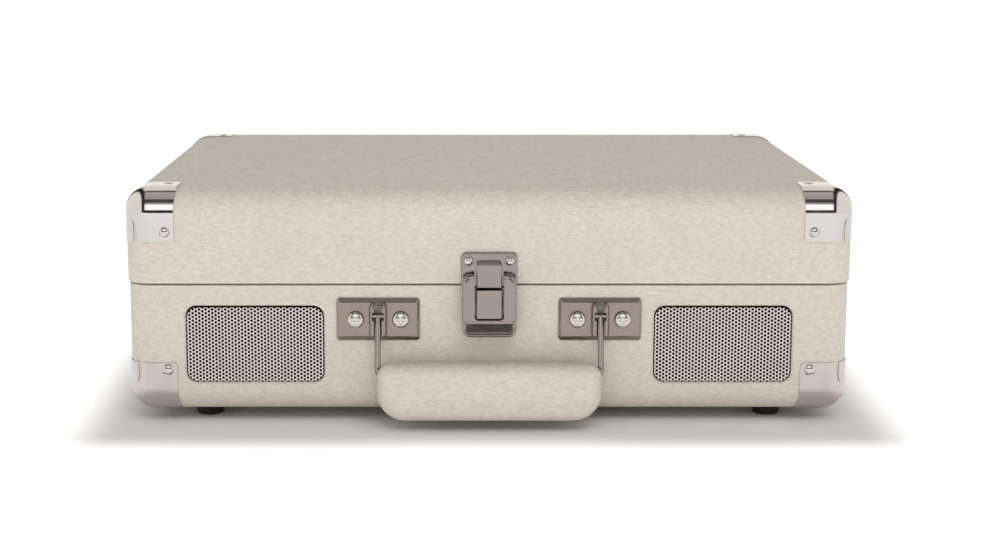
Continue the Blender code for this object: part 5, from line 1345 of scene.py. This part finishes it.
DOTS = 11
DOT_CIRCLE = 12.5 * MM
RIVET_PITCH = 10.5 * MM
dots = []
for number, angle in enumerate(np.radians(np.linspace(225, -45, DOTS))):
    size = (0.35 + 0.05 * number) * MM
    spot = (
        knob_centre[0] + DOT_CIRCLE * math.cos(angle), knob_centre[1] + DOT_CIRCLE * math.sin(angle),
        deck_top,
    )
    dots.append(pad(spot, (size, size)))
switch_low, switch_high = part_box("speed_switch")
switch_middle = (switch_low[0] + switch_high[0]) / 2
for step in range(3):
    spot = (switch_middle + 7 * MM, switch_low[1] + 3 * MM + step * 6 * MM, deck_top)
    dots.append(pad(spot, (0.6 * MM + 0.4 * MM * step, 0.4 * MM)))
place(skin("printed_dots", dots, MARKING_INK), "deck_plate", replaces=False)
pointer = pad((knob_centre[0], knob_centre[1] + 4 * MM, knob_high[2] - 0.4 * MM), (0.45 * MM, 2.4 * MM))
place(skin("knob_pointer", [pointer], MARKING_INK), "volume_knob", replaces=False)

for hand, _ in SIDES:
    for leaf in ("base", "lid"):
        low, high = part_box(f"hinge_{leaf}_{hand}")
        inwards = 0.42 * (high[2] - low[2])
        leaf_z = low[2] + inwards if leaf == "base" else high[2] - inwards
        face_y = low[1] + 1.2 * MM
        middle = (low[0] + high[0]) / 2
        heads = [
            rivet((middle + step * RIVET_PITCH, face_y, leaf_z), 2 * MM, 0.9 * MM, "Y", 1)
            for step in (-1, 0, 1)
        ]
        place(skin(f"hinge_rivets_{leaf}_{hand}", heads, STEEL), f"hinge_{leaf}_{hand}", replaces=False)
print("dots:", len(dots))

# %% [markdown]
# ## Parts that keep the frame's shape
#
# Turned, moulded and pressed parts whose form is already right are copied from the frame. Each copy
# gets a small bevel, because no moulded or cut edge is perfectly sharp, and a finish of its own.

# %% Refined parts
REFINED = [
    (RUBBER, 0.1 * MM, ["drive_belt"]),
    (STEEL, 0.2 * MM, ["motor", "motor_pulley", "headphone_socket", "platter_clip"]),
    (CHROME, 0.2 * MM, ["spindle"]),
    (LATCH_METAL, 0.3 * MM, ["latch_base"]),
    (STEEL, 0.25 * MM, [f"hinge_{leaf}_{hand}" for leaf in ("base", "lid") for hand, _ in SIDES]),
    (DECK_ABS, 0.4 * MM, ["deck_plate", "socket_panel", "power_socket"]),
    (RED_ABS, 0.12 * MM, ["stylus", "line_jack_right"]),
    (WHITE_ABS, 0.12 * MM, ["line_jack_left"]),
    (GLOSS_ABS, 0.35 * MM, [
        "cartridge", "tonearm", "tonearm_yoke", "tonearm_turret", "arm_rest", "arm_clip", "cue_lever",
        "speed_switch", "auto_stop_switch", "single_adapter",
    ]),
    (BOARD_RESIN, 0.15 * MM, ["circuit_board"]),
    (FLOCK, 0.3 * MM, ["lid_lining"]),
    (ALUMINIUM, 0.3 * MM, ["platter"]),
]
for finish, edge, nodes in REFINED:
    for node in nodes:
        refined(node, finish, edge)
replaced = {node for piece in bpy.data.objects for node in piece.get("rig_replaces", [])}
print("nodes that nothing stands for:", sorted(set(frame["nodes"]) - replaced))
